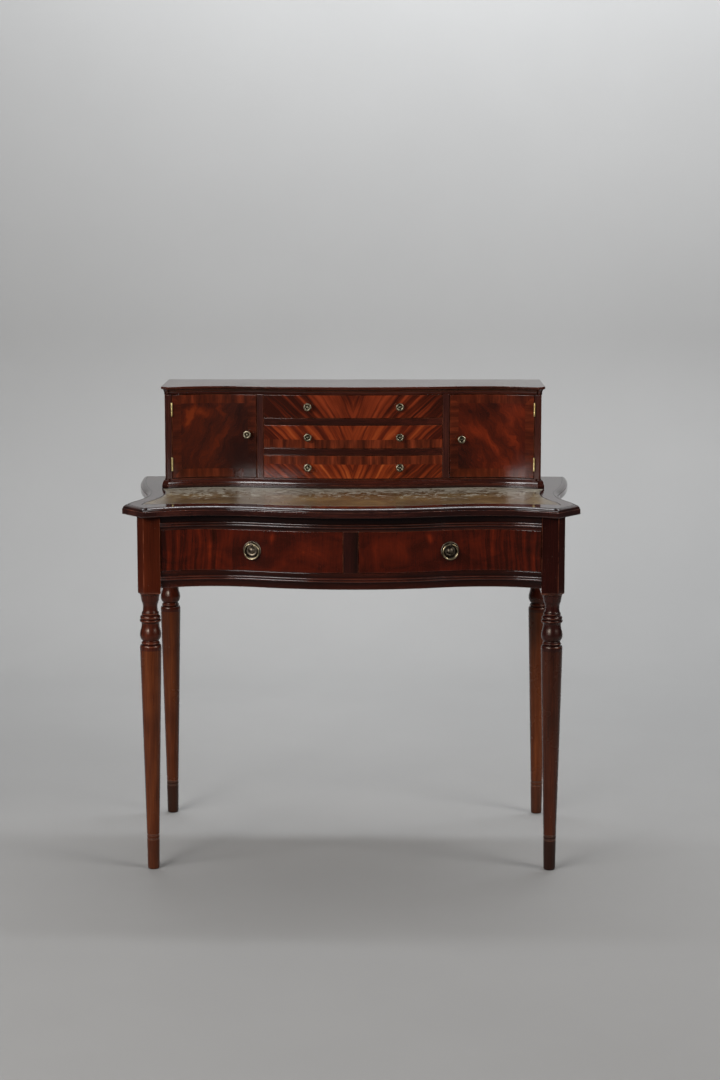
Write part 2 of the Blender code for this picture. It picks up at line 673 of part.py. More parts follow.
def build_drawer(label, side):
    front_name = "drawer_front_" + label
    outline = front_line(frieze_y, DRAWER_INNER_X, DRAWER_OUTER_X)
    outline += front_line(frieze_y, DRAWER_INNER_X, DRAWER_OUTER_X, DRAWER_FRONT_THICKNESS)[::-1]
    shape = board(sided(outline, side), OPENING_BOTTOM + RUNNING_GAP, OPENING_TOP - RUNNING_GAP)
    front = add_piece(front_name, mesh_from(front_name, shape), "flame_veneer")

    behind = DRAWER_FRONT_THICKNESS + SEAT_GAP
    inner_wall = DRAWER_INNER_X + DRAWER_SIDE_THICKNESS
    outer_wall = DRAWER_OUTER_X - DRAWER_SIDE_THICKNESS
    back_inner_y = DRAWER_BACK_Y - DRAWER_SIDE_THICKNESS
    outline = front_line(frieze_y, DRAWER_INNER_X, inner_wall, behind)
    outline += [(inner_wall, back_inner_y), (outer_wall, back_inner_y)]
    outline += front_line(frieze_y, outer_wall, DRAWER_OUTER_X, behind)
    outline += [(DRAWER_OUTER_X, DRAWER_BACK_Y), (DRAWER_INNER_X, DRAWER_BACK_Y)]
    box_name = "drawer_box_" + label
    side_top = DRAWER_SIDE_BOTTOM + DRAWER_SIDE_HEIGHT
    shape = board(sided(outline, side), DRAWER_SIDE_BOTTOM, side_top)
    walls = add_piece(box_name, mesh_from(box_name, shape), "lining_wood")

    groove_inner = inner_wall - DRAWER_GROOVE_DEPTH
    groove_outer = outer_wall + DRAWER_GROOVE_DEPTH
    panel_low = DRAWER_SIDE_BOTTOM + DRAWER_BOTTOM_RISE
    panel_high = panel_low + DRAWER_BOTTOM_THICKNESS
    front_reach = frieze_y(0) - CUT_OVERRUN
    slot_name = "bottom_slot_" + label
    slot_outline = [(groove_inner, front_reach), (groove_outer, front_reach),
                    (groove_outer, DRAWER_BACK_Y + CUT_OVERRUN),
                    (groove_inner, DRAWER_BACK_Y + CUT_OVERRUN)]
    slot = board(sided(slot_outline, side), panel_low, panel_high)
    combine(walls, add_cutter(slot_name, mesh_from(slot_name, slot)), "DIFFERENCE")
    below_name = "below_back_" + label
    below_outline = [(inner_wall, front_reach), (outer_wall, front_reach),
                     (outer_wall, DRAWER_BACK_Y + CUT_OVERRUN),
                     (inner_wall, DRAWER_BACK_Y + CUT_OVERRUN)]
    below_middle = (panel_low + panel_high) / 2
    below = board(sided(below_outline, side), DRAWER_SIDE_BOTTOM - CUT_OVERRUN, below_middle)
    combine(walls, add_cutter(below_name, mesh_from(below_name, below)), "DIFFERENCE")

    panel_inner = groove_inner + SEAT_GAP
    panel_outer = groove_outer - SEAT_GAP
    outline = front_line(frieze_y, panel_inner, panel_outer, behind)
    outline += [(panel_outer, DRAWER_BACK_Y), (panel_inner, DRAWER_BACK_Y)]
    panel_name = "drawer_bottom_" + label
    shape = board(sided(outline, side), panel_low + SEAT_GAP, panel_high - SEAT_GAP)
    panel = add_piece(panel_name, mesh_from(panel_name, shape), "lining_wood")

    plate, ring = build_pull(label, side)
    slide_at = (side * PULL_X, DRAWER_BACK_Y, PULL_Z)
    hang_on("drawer_slide_" + label, slide_at, [front, walls, panel, plate])


def facet_y(line, x):
    """Front at x on a piece, which runs straight between the points of the grid."""
    low = math.floor(x / CURVE_PITCH) * CURVE_PITCH
    share = (x - low) / CURVE_PITCH
    return line(low) * (1 - share) + line(low + CURVE_PITCH) * share


def on_face(line, x, level, reach):
    """Place and turn of a fitting that stands square on a curved front. It stands clear of
    the front as far as its edge reaches to each side."""
    slope = face_slope(line, x)
    out = Vector((math.sin(slope), -math.cos(slope), 0))
    centre = Vector((x, line(x), level))
    near = [Vector((px, facet_y(line, px), level)) for px in stations(x - reach, x + reach)]
    standoff = max(out.dot(point - centre) for point in near) + SEAT_GAP
    return centre + out * standoff, (math.pi / 2, 0, slope)


def build_pull(label, side):
    """Domed backplate with a post, and the ring that hangs in the post's eye."""
    plate_name = "pull_plate_" + label
    mesh, steps = turned(
        plate_name, shared_profile(PLATE_SHARES + ((1, 0),), PLATE_RADIUS, PLATE_DOME_HEIGHT),
        PLATE_STEPS)
    plate = add_piece(plate_name, mesh, "dull_brass")
    add_screw(plate, steps)
    place, turn = on_face(frieze_y, side * PULL_X, PULL_Z, PLATE_RADIUS)
    plate.location, plate.rotation_euler = place, turn
    frame = Matrix.Translation(place) @ plate.rotation_euler.to_matrix().to_4x4()

    pivot = Vector((0, RING_RADIUS - RING_DROP, RING_PLANE))
    eye_radius = RING_WIRE_RADIUS + POST_EYE_CLEARANCE
    post_low = PLATE_DOME_HEIGHT * PLATE_SHARES[-1][1] / 2
    post = rod(POST_RADIUS, post_low, RING_PLANE + eye_radius + POST_END_WALL, POST_STEPS)
    eye = rod(eye_radius, -CUT_OVERRUN, CUT_OVERRUN, POST_STEPS)
    eye.transform(Matrix.Rotation(math.pi / 2, 4, "Y"))
    post_tool = add_cutter("post_" + label, mesh_from("post_" + label, post))
    post_tool.matrix_world = frame @ Matrix.Translation((0, pivot.y, 0))
    combine(plate, post_tool, "UNION")
    eye_tool = add_cutter("eye_" + label, mesh_from("eye_" + label, eye))
    eye_tool.matrix_world = frame @ Matrix.Translation(pivot)
    combine(plate, eye_tool, "DIFFERENCE")

    bpy.ops.mesh.primitive_torus_add(
        major_segments=RING_STEPS, minor_segments=RING_WIRE_STEPS, major_radius=RING_RADIUS,
        minor_radius=RING_WIRE_RADIUS)
    torus = bpy.context.object
    ring_mesh = torus.data
    bpy.data.objects.remove(torus)
    ring_mesh.transform(Matrix.Translation((0, -RING_RADIUS, 0)))
    ring = add_piece("pull_ring_" + label, ring_mesh, "brass")
    ring.location = frame @ pivot
    ring.rotation_euler = turn
    ring.data.shade_smooth()
    return plate, ring


# Case of the gallery

def gallery_outline():
    """Plan of the base and the cornice, with canted front corners."""
    corner_x = GALLERY_HALF_WIDTH - GALLERY_CANT_WIDTH
    front = front_line(gallery_front_y, -corner_x, corner_x)
    right = [(GALLERY_HALF_WIDTH, gallery_front_y(corner_x) + GALLERY_CANT_DEPTH),
             (GALLERY_HALF_WIDTH, GALLERY_BACK_Y + CUT_OVERRUN)]
    return front + right + mirrored(right)


def build_base_and_cornice():
    curve_width = GALLERY_MOULD_PROJECTION - MOULD_LEDGE
    steps = [(0, PLINTH_HEIGHT), (MOULD_LEDGE, 0)]
    steps += ovolo_steps(curve_width, BASE_OVOLO_HEIGHT, MOULD_FACETS) + [(0, BASE_FILLET_HEIGHT)]
    shape = moulded_board(gallery_outline(), GALLERY_BOTTOM, steps, GALLERY_BACK_Y)
    add_piece("gallery_base", mesh_from("gallery_base", shape), "mahogany")

    low = CASE_TOP + SEAT_GAP
    high = WRITING_HEIGHT + GALLERY_HEIGHT
    steps = [(0, CORNICE_FILLET_HEIGHT), (MOULD_LEDGE, 0)]
    steps += cove_steps(curve_width, CORNICE_COVE_HEIGHT, MOULD_FACETS)
    steps += [(0, CORNICE_BED_HEIGHT - SEAT_GAP)]
    shape = upside_down(moulded_board(gallery_outline(), low, steps, GALLERY_BACK_Y), low, high)
    add_piece("gallery_cornice", mesh_from("gallery_cornice", shape), "mahogany")


def build_case():
    low = CASE_BOTTOM + SEAT_GAP
    high = CASE_TOP
    for side, label in ((-1, "left"), (1, "right")):
        name = "gallery_side_" + label
        chamfer_x = CASE_OUTER_X - GALLERY_SIDE_CHAMFER
        outline = front_line(case_y, CASE_INNER_X, chamfer_x)
        outline += [(CASE_OUTER_X, case_y(chamfer_x) + GALLERY_SIDE_CHAMFER),
                    (CASE_OUTER_X, CASE_BACK_Y), (CASE_INNER_X, CASE_BACK_Y)]
        panel = add_piece(name, mesh_from(name, board(sided(outline, side), low, high)), "mahogany")
        cut_mortises(panel, "mortise_side_" + label, side, 1)

        name = "gallery_divider_" + label
        outline = front_line(case_y, DIVIDER_INNER_X, DIVIDER_OUTER_X)
        outline += [(DIVIDER_OUTER_X, CASE_BACK_INNER_Y - SEAT_GAP),
                    (DIVIDER_INNER_X, CASE_BACK_INNER_Y - SEAT_GAP)]
        add_piece(name, mesh_from(name, board(sided(outline, side), low, high)), "mahogany")

    reach = CASE_INNER_X - SEAT_GAP
    shape = box((-reach, CASE_BACK_INNER_Y, low), (reach, CASE_BACK_Y, high))
    add_piece("gallery_back", mesh_from("gallery_back", shape), "lining_wood")

    reach = DIVIDER_INNER_X - SEAT_GAP
    for count, name in ((1, "gallery_rail_lower"), (2, "gallery_rail_upper")):
        rail_low = small_opening_bottom(count) - GALLERY_RAIL_THICKNESS
        outline = front_line(case_y, -reach, reach)
        outline += [(reach, CASE_BACK_INNER_Y - SEAT_GAP), (-reach, CASE_BACK_INNER_Y - SEAT_GAP)]
        shape = board(outline, rail_low, rail_low + GALLERY_RAIL_THICKNESS)
        add_piece(name, mesh_from(name, shape), "mahogany")


def small_opening_bottom(count):
    """Floor of a small drawer's opening, counted from the lowest."""
    return CASE_BOTTOM + count * (SMALL_OPENING_HEIGHT + GALLERY_RAIL_THICKNESS)


# Small drawers

def build_small_drawer(count, label):
    reach = DIVIDER_INNER_X - RUNNING_GAP
    low = small_opening_bottom(count) + RUNNING_GAP
    high = small_opening_bottom(count) + SMALL_OPENING_HEIGHT - RUNNING_GAP
    front_name = "small_drawer_front_" + label
    outline = front_line(case_y, -reach, reach)
    outline += front_line(case_y, -reach, reach, SMALL_FRONT_THICKNESS)[::-1]
    front = add_piece(front_name, mesh_from(front_name, board(outline, low, high)), "flame_veneer")

    behind = SMALL_FRONT_THICKNESS + SEAT_GAP
    back_y = CASE_BACK_INNER_Y - SMALL_BACK_CLEARANCE
    tray_name = "small_drawer_box_" + label
    tray_low = small_opening_bottom(count) + SEAT_GAP
    outline = front_line(case_y, -reach, reach, behind) + [(reach, back_y), (-reach, back_y)]
    tray = add_piece(
        tray_name, mesh_from(tray_name, board(outline, tray_low, tray_low + SMALL_SIDE_HEIGHT)),
        "lining_wood")
    inside = box((-reach + SMALL_SIDE_THICKNESS, GALLERY_CREST_Y - CUT_OVERRUN,
                  tray_low + SMALL_BOTTOM_THICKNESS),
                 (reach - SMALL_SIDE_THICKNESS, back_y - SMALL_SIDE_THICKNESS,
                  tray_low + SMALL_SIDE_HEIGHT + CUT_OVERRUN))
    inside_name = "small_drawer_inside_" + label
    combine(tray, add_cutter(inside_name, mesh_from(inside_name, inside)), "DIFFERENCE")

    knobs = []
    for side, end in ((-1, "left"), (1, "right")):
        knob_x = KNOB_SHIFT + side * KNOB_SPACING / 2
        place, turn = on_face(case_y, knob_x, (low + high) / 2, KNOB_RADIUS)
        knobs.append(build_knob("small_drawer_knob_" + label + "_" + end, place, turn))
    hang_on("small_drawer_slide_" + label, (0, back_y, (low + high) / 2), [front, tray] + knobs)


def build_knob(name, place, turn):
    mesh, steps = turned(name, shared_profile(KNOB_SHARES, KNOB_RADIUS, KNOB_LENGTH), KNOB_STEPS)
    knob = add_piece(name, mesh, "dull_brass")
    add_screw(knob, steps)
    knob.location, knob.rotation_euler = place, turn
    return knob


# Doors and their hinges

DOOR_HINGE_X = CASE_INNER_X - DOOR_GAP
DOOR_FREE_X = DIVIDER_OUTER_X + DOOR_GAP
DOOR_BOTTOM = CASE_BOTTOM + DOOR_GAP
DOOR_TOP = CASE_TOP - DOOR_GAP
PIN_X = CASE_INNER_X - DOOR_GAP / 2
PIN_SLOPE = face_slope(case_y, CASE_INNER_X + HINGE_KNUCKLE_RADIUS)
PIN_Y = case_y(CASE_INNER_X) - (HINGE_KNUCKLE_RADIUS + SEAT_GAP) / math.cos(PIN_SLOPE)
HINGE_LEVELS = (("lower", DOOR_BOTTOM + HINGE_INSET), ("upper", DOOR_TOP - HINGE_INSET))
MORTISE_REACH = HINGE_LEAF_THICKNESS + 2 * SEAT_GAP


def cut_mortises(piece, name, side, away):
    """Shallow seats for the hinge leaves, in the case's side or in the door's edge.
    away is 1 on the case's side of the pin and -1 on the door's."""
    low_x, high_x = sorted((PIN_X, PIN_X + away * MORTISE_REACH))
    back_y = PIN_Y + HINGE_KNUCKLE_RADIUS + HINGE_LEAF_DEPTH + 2 * SEAT_GAP
    outline = [(low_x, PIN_Y - CUT_OVERRUN), (high_x, PIN_Y - CUT_OVERRUN),
               (high_x, back_y), (low_x, back_y)]
    half = HINGE_HEIGHT / 2 + SEAT_GAP
    for level_name, level in HINGE_LEVELS:
        tool_name = name + "_" + level_name
        shape = board(sided(outline, side), level - half, level + half)
        combine(piece, add_cutter(tool_name, mesh_from(tool_name, shape)), "DIFFERENCE")


def build_door(label, side, knob_inset, knob_rise):
    name = "door_" + label
    outline = front_line(case_y, DOOR_FREE_X, DOOR_HINGE_X)
    back = front_line(case_y, DOOR_FREE_X + DOOR_EDGE_EASE, DOOR_HINGE_X, DOOR_THICKNESS)
    outline += back[::-1]
    shape = board(sided(outline, side), DOOR_BOTTOM, DOOR_TOP)
    door = add_piece(name, mesh_from(name, shape), "flame_veneer")
    cut_mortises(door, "mortise_door_" + label, side, -1)

    knob_x = side * (DIVIDER_OUTER_X + knob_inset)
    place, turn = on_face(case_y, knob_x, DOOR_BOTTOM + knob_rise, KNOB_RADIUS)
    knob = build_knob("door_knob_" + label, place, turn)

    leaves = []
    for level_name, level in HINGE_LEVELS:
        build_case_leaf("case_leaf_" + label + "_" + level_name, side, level)
        leaves.append(build_door_leaf("door_leaf_" + label + "_" + level_name, side, level))
    pin = (side * PIN_X, PIN_Y, (DOOR_BOTTOM + DOOR_TOP) / 2)
    hang_on("door_hinge_" + label, pin, [door, knob] + leaves)


KNUCKLE_HALF = HINGE_HEIGHT / 6


def leaf_plate(side, away, low, high, reaches_pin):
    """Flat part of a hinge leaf, beside the pin's axis. Only a leaf's own knuckles are
    joined to it, so elsewhere it stops short of them."""
    near_x = away * SEAT_GAP / 2
    far_x = away * (SEAT_GAP / 2 + HINGE_LEAF_THICKNESS)
    low_x, high_x = sorted((near_x, far_x))
    front_y = HINGE_PIN_RADIUS + 2 * SEAT_GAP if reaches_pin else HINGE_KNUCKLE_RADIUS + SEAT_GAP
    back_y = HINGE_KNUCKLE_RADIUS + HINGE_LEAF_DEPTH
    outline = [(low_x, front_y), (high_x, front_y), (high_x, back_y), (low_x, back_y)]
    return board(sided(outline, side), low, high)


def join_on(piece, name, shape):
    tool = add_cutter(name, mesh_from(name, shape))
    tool.location = piece.location
    combine(piece, tool, "UNION")


def build_case_leaf(name, side, level):
    """Leaf on the case: plate, outer knuckles and the pin through all three."""
    half = HINGE_HEIGHT / 2
    knuckle_end = KNUCKLE_HALF + SEAT_GAP / 2
    plate = leaf_plate(side, 1, -half, half, False)
    leaf = add_piece(name, mesh_from(name, plate), "brass")
    leaf.location = (side * PIN_X, PIN_Y, level)
    for end, low, high in (("low", -half, -knuckle_end), ("high", knuckle_end, half)):
        join_on(leaf, name + "_web_" + end, leaf_plate(side, 1, low, high, True))
        join_on(leaf, name + "_knuckle_" + end, rod(HINGE_KNUCKLE_RADIUS, low, high, HINGE_STEPS))
    pin_half = half - HINGE_PIN_RADIUS
    join_on(leaf, name + "_pin", rod(HINGE_PIN_RADIUS, -pin_half, pin_half, HINGE_STEPS))
    return leaf


def build_door_leaf(name, side, level):
    """Leaf on the door: plate and a middle knuckle that turns on the pin."""
    half = HINGE_HEIGHT / 2
    knuckle_end = KNUCKLE_HALF - SEAT_GAP / 2
    plate = leaf_plate(side, -1, -half, half, False)
    leaf = add_piece(name, mesh_from(name, plate), "brass")
    leaf.location = (side * PIN_X, PIN_Y, level)
    web = leaf_plate(side, -1, -knuckle_end, knuckle_end, True)
    join_on(leaf, name + "_web", web)
    join_on(leaf, name + "_knuckle", rod(
        HINGE_KNUCKLE_RADIUS, -knuckle_end, knuckle_end, HINGE_STEPS))
    bore = add_cutter(name + "_bore", mesh_from(name + "_bore", rod(
        HINGE_PIN_RADIUS + HINGE_BORE_CLEARANCE, -half, half, HINGE_STEPS)))
    bore.location = leaf.location
    combine(leaf, bore, "DIFFERENCE")
    return leaf


for old in list(bpy.data.objects):
    bpy.data.objects.remove(old)
PARTS = new_collection("writing_desk")
CUTTERS = new_collection("cutters")

build_top()
for leg_name, leg_side, leg_is_front in (
        ("leg_front_left", -1, True), ("leg_front_right", 1, True),
        ("leg_rear_left", -1, False), ("leg_rear_right", 1, False)):
    build_leg(leg_name, leg_side, leg_is_front)
build_front_rail("top_rail_front", OPENING_TOP, TOP_UNDERSIDE - SEAT_GAP, True)
build_front_rail("bottom_rail_front", FRIEZE_BOTTOM, OPENING_BOTTOM, False)
build_side_rail("side_rail_left", -1)
build_side_rail("side_rail_right", 1)
build_back_rail()
build_centre_stile()
build_runners()
build_kicker()
build_drawer("left", -1)
build_drawer("right", 1)
build_base_and_cornice()
build_case()
for drawer_count, drawer_label in enumerate(("bottom", "middle", "top")):
    build_small_drawer(drawer_count, drawer_label)
build_door("left", -1, LEFT_DOOR_KNOB_INSET, LEFT_DOOR_KNOB_RISE)
build_door("right", 1, RIGHT_DOOR_KNOB_INSET, RIGHT_DOOR_KNOB_RISE)
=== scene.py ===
import json
import math

import bmesh
import bpy
import numpy as np
from mathutils import Matrix, Vector
from mathutils.geometry import tessellate_polygon


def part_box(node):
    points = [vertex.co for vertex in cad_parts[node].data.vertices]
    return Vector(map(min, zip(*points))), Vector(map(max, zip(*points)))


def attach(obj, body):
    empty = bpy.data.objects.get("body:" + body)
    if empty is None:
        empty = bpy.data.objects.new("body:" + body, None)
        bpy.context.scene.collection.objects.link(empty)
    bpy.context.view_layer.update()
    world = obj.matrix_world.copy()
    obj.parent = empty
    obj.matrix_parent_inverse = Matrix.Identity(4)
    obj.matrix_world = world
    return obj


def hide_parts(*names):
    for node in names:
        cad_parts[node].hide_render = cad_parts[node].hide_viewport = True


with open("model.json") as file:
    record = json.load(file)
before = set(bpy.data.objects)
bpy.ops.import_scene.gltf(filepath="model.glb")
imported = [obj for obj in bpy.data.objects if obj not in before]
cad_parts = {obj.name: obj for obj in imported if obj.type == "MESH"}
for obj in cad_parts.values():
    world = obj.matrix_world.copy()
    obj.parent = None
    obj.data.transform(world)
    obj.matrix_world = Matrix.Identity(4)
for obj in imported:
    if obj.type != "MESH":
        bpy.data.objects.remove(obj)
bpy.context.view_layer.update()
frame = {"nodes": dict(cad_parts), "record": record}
print("writing desk: frame loaded")

# ---- camera, light, floor

view = {
    "place": (0.0755, -4.8947, 1.3722),
    "turn": -0.0123,      # radians to the right
    "dip": 0.149,         # radians down
    "roll": -0.0006,
    "lens": 80.1,
    "floorColour": (0.296, 0.289, 0.281),
    "worldStrength": 0.020,
    "worldSeen": 0.035,   # added where the room round the stage is looked at
}


def placeCamera():
    camera = bpy.data.cameras.new("camera")
    camera.sensor_width = 36.0
    camera.lens = view["lens"]
    holder = bpy.data.objects.new("camera", camera)
    bpy.context.scene.collection.objects.link(holder)
    ahead = Vector((math.sin(view["turn"]) * math.cos(view["dip"]),
                    math.cos(view["turn"]) * math.cos(view["dip"]), -math.sin(view["dip"])))
    right = ahead.cross(Vector((0, 0, 1))).normalized()
    turn = Matrix((right, right.cross(ahead), -ahead)).transposed().to_4x4()
    holder.matrix_world = (Matrix.Translation(view["place"]) @ turn
                           @ Matrix.Rotation(view["roll"], 4, "Z"))
    bpy.context.scene.camera = holder


def areaLight(name, place, target, width, height, power, colour=(1, 1, 1)):
    lamp = bpy.data.lights.new(name, "AREA")
    lamp.shape = "RECTANGLE"
    lamp.size, lamp.size_y = width, height
    lamp.energy = power
    lamp.color = colour
    holder = bpy.data.objects.new(name, lamp)
    bpy.context.scene.collection.objects.link(holder)
    holder.location = place
    holder.rotation_euler = (Vector(target) - Vector(place)).to_track_quat("-Z", "Y").to_euler()
    holder.visible_camera = False


# ---- node helpers

def linear(red, green, blue):
    # a colour as seen on screen, 0 to 255, turned into the plain light values that nodes use
    seen = np.array([red, green, blue]) / 255.0
    plain = np.where(seen <= 0.04045, seen / 12.92, ((seen + 0.055) / 1.055) ** 2.4)
    return (*plain.tolist(), 1.0)


def addNode(tree, kind, inputs=None, **settings):
    node = tree.nodes.new(kind)
    for key, value in settings.items():
        setattr(node, key, value)
    for key, value in (inputs or {}).items():
        if isinstance(value, bpy.types.NodeSocket):
            tree.links.new(value, node.inputs[key])
        else:
            node.inputs[key].default_value = value
    return node


def calc(tree, operation, first, second=0.0, third=0.0, clamp=False):
    node = addNode(tree, "ShaderNodeMath", {0: first, 1: second, 2: third},
                   operation=operation, use_clamp=clamp)
    return node.outputs[0]


def ramp(tree, factor, stops, soft=False):
    node = addNode(tree, "ShaderNodeValToRGB", {"Fac": factor})
    node.color_ramp.interpolation = "EASE" if soft else "LINEAR"
    marks = node.color_ramp.elements
    while len(marks) < len(stops):
        marks.new(0.5)
    for mark, (place, colour) in zip(marks, sorted(stops)):
        mark.position = place
        mark.color = colour if len(colour) == 4 else (*colour, 1.0)
    return node.outputs["Color"]


def level(value):
    return (value, value, value, 1.0)


def mixColour(tree, factor, first, second, kind="MIX"):
    node = addNode(tree, "ShaderNodeMix", {"Factor": factor}, data_type="RGBA", blend_type=kind)
    for key, value in ((6, first), (7, second)):
        if isinstance(value, bpy.types.NodeSocket):
            tree.links.new(value, node.inputs[key])
        else:
            node.inputs[key].default_value = value
    return node.outputs[2]


def noise(tree, place, scale, stretch=(1, 1, 1), shift=(0, 0, 0), detail=4.0, rough=0.55, warp=0.0):
    moved = addNode(tree, "ShaderNodeMapping", {"Vector": place, "Scale": stretch, "Location": shift})
    return addNode(tree, "ShaderNodeTexNoise", {
        "Vector": moved.outputs[0], "Scale": scale, "Detail": detail, "Roughness": rough,
        "Distortion": warp}).outputs["Fac"]


def newMaterial(name):
    material = bpy.data.materials.new(name)
    material.use_nodes = True
    tree = material.node_tree
    shader = tree.nodes["Principled BSDF"]
    place = addNode(tree, "ShaderNodeTexCoord").outputs["Object"]
    return material, tree, shader, place


def bump(tree, shader, height, distance, strength=1.0):
    node = addNode(tree, "ShaderNodeBump", {
        "Height": height, "Distance": distance, "Strength": strength})
    tree.links.new(node.outputs[0], shader.inputs["Normal"])


# ---- stage

def buildStage():
    # a floor that turns up into a backdrop: two straight lines joined by a quarter circle
    reach, radius, height, front, back = 3.2, 0.9, 5.0, -1.9, 1.6
    turn = np.linspace(0, math.pi / 2, 25)
    y = np.concatenate(([front], back + radius * np.sin(turn), [back + radius]))
    z = np.concatenate(([0.0], radius * (1 - np.cos(turn)), [height]))
    x = np.array([-reach, reach])
    points = np.stack(np.broadcast_arrays(x[None, :], y[:, None], z[:, None]), -1).reshape(-1, 3)
    mesh = bpy.data.meshes.new("floor")
    mesh.from_pydata(points.tolist(), [], gridFaces(len(y), 2).tolist())
    mesh.shade_smooth()
    floor = bpy.data.objects.new("floor", mesh)
    bpy.context.scene.collection.objects.link(floor)
    material, tree, shader, place = newMaterial("pale floor")
    grain = noise(tree, place, 3.0, detail=3.0)
    base = view["floorColour"]
    colour = ramp(tree, grain, [(0.3, tuple(c * 0.985 for c in base)), (0.7, tuple(c * 1.015 for c in base))])
    tree.links.new(colour, shader.inputs["Base Color"])
    shader.inputs["Roughness"].default_value = 0.75
    shader.inputs["Specular IOR Level"].default_value = 0.2
    # from behind, the backdrop is seen through, so that the desk's back can be looked at
    behind = addNode(tree, "ShaderNodeNewGeometry").outputs["Backfacing"]
    clear = addNode(tree, "ShaderNodeBsdfTransparent")
    surface = addNode(tree, "ShaderNodeMixShader", {0: behind, 1: shader.outputs[0], 2: clear.outputs[0]})
    tree.links.new(surface.outputs[0], tree.nodes["Material Output"].inputs["Surface"])
    mesh.materials.append(material)


def gridFaces(rows, columns, closeRows=False, closeColumns=False):
    # each face joins a point to the next in its row and to the same two in the next row
    r, c = np.meshgrid(np.arange(rows if closeRows else rows - 1),
                       np.arange(columns if closeColumns else columns - 1), indexing="ij")
    nextR, nextC = (r + 1) % rows, (c + 1) % columns
    corners = [r * columns + c, r * columns + nextC, nextR * columns + nextC, nextR * columns + c]
    return np.stack(corners, -1).reshape(-1, 4)


# ---- making pieces

def buildMesh(name, parts, wearAndSheen=None, sharp=32.0, grimeAndShade=None):
    # parts is a list of points and faces; each part's faces count from its own first point
    points = np.concatenate([np.asarray(p, float).reshape(-1, 3) for p, f in parts])
    starts = np.cumsum([0] + [np.asarray(p).reshape(-1, 3).shape[0] for p, f in parts])
    faces = []
    for start, (p, f) in zip(starts, parts):
        for group in f:
            faces += (np.atleast_2d(np.asarray(group)) + start).tolist()
    mesh = bpy.data.meshes.new(name)
    mesh.from_pydata(points.tolist(), [], faces)
    # marks on the points: paler for wear and a painted highlight, darker for grime and painted shade
    for label, values in (("wearAndSheen", wearAndSheen), ("grimeAndShade", grimeAndShade)):
        if values is not None:
            layer = mesh.attributes.new(label, "FLOAT", "POINT")
            layer.data.foreach_set("value", np.asarray(values, np.float32).ravel())
    shape = bmesh.new()
    shape.from_mesh(mesh)
    bmesh.ops.remove_doubles(shape, verts=shape.verts, dist=0.000004)
    bmesh.ops.recalc_face_normals(shape, faces=shape.faces)
    shape.to_mesh(mesh)
    shape.free()
    mesh.shade_smooth()
    mesh.set_sharp_from_angle(angle=math.radians(sharp))
    return mesh


def addPiece(name, mesh, body, nodes, material):
    piece = bpy.data.objects.new(name, mesh)
    bpy.context.scene.collection.objects.link(piece)
    mesh.materials.clear()
    mesh.materials.append(material)
    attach(piece, body)
    if nodes:
        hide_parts(*nodes)
    return piece


def bodyOf(node):
    return next(body for body, members in frame["record"]["behaviour"]["bodies"].items()
                if node in members)


def remake(node, mesh, material):
    return addPiece(node + ".fine", mesh, bodyOf(node), [node], material)


def easedCopy(node, width, material, segments=2):
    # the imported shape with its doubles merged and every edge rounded
    mesh = frame["nodes"][node].data.copy()
    shape = bmesh.new()
    shape.from_mesh(mesh)
    bmesh.ops.remove_doubles(shape, verts=shape.verts, dist=0.000004)
    bmesh.ops.dissolve_limit(shape, angle_limit=math.radians(0.5), verts=shape.verts,
                             edges=shape.edges)
    shape.to_mesh(mesh)
    shape.free()
    mesh.shade_smooth()
    piece = remake(node, mesh, material)
    bevel = piece.modifiers.new("eased edges", "BEVEL")
    bevel.width = width
    bevel.segments = segments
    bevel.limit_method = "ANGLE"
    bevel.angle_limit = math.radians(35)
    bevel.harden_normals = True
    return piece


# ---- plan of the desk

deskPlan = {
    "halfWidth": 0.4575, "frontY": -0.2625, "backY": 0.2625, "bow": 0.041, "hollowX": 0.272,
    "hollowRadius": 0.310, "shoulderRadius": 0.240, "cornerX": 0.405, "cantDepth": 0.064,
    "sideHollowY": -0.0375, "sideHollow": 0.036, "sideRadius": 0.290, "frontCrestY": -0.2095,
    "frontCrestInset": 0.005, "overhang": 0.024,
}
galleryPlan = {
    "halfWidth": 0.3975, "crestY": 0.0525, "backY": 0.2505, "bow": 0.029, "hollowX": 0.273,
    "hollowRadius": 0.310, "shoulderRadius": 0.228, "cant": 0.014, "mould": 0.0075,
}


def serpentine(distance, hollowAt, depth, hollowRadius, shoulderRadius):
    # Setback of a bowed front. The squares of the hollow's distance and depth, over twice the
    # depth, give the two radii together; the crest's arc runs to where both arcs meet in line,
    # and from there the setback is the depth, less the radius, plus the arc's own height.
    distance = np.abs(distance)
    bothRadii = (hollowAt ** 2 + depth ** 2) / (2 * depth)
    crestRadius = bothRadii - hollowRadius
    turning = hollowAt * crestRadius / bothRadii
    crest = crestRadius - np.sqrt(crestRadius ** 2 - np.minimum(distance, turning) ** 2)
    radius = np.where(distance > hollowAt, shoulderRadius, hollowRadius)
    past = np.where(distance < turning, 0, distance - hollowAt)
    hollow = depth - radius + np.sqrt(np.maximum(radius ** 2 - past ** 2, 0))
    return np.where(distance < turning, crest, hollow)


def topFrontY(x):
    p = deskPlan
    return p["frontY"] + serpentine(x, p["hollowX"], p["bow"], p["hollowRadius"], p["shoulderRadius"])


def friezeY(x):
    return topFrontY(x) + deskPlan["overhang"]


def galleryFrontY(x):
    p = galleryPlan
    return p["crestY"] + serpentine(x, p["hollowX"], p["bow"], p["hollowRadius"], p["shoulderRadius"])


def caseY(x):
    return galleryFrontY(x) + galleryPlan["mould"]


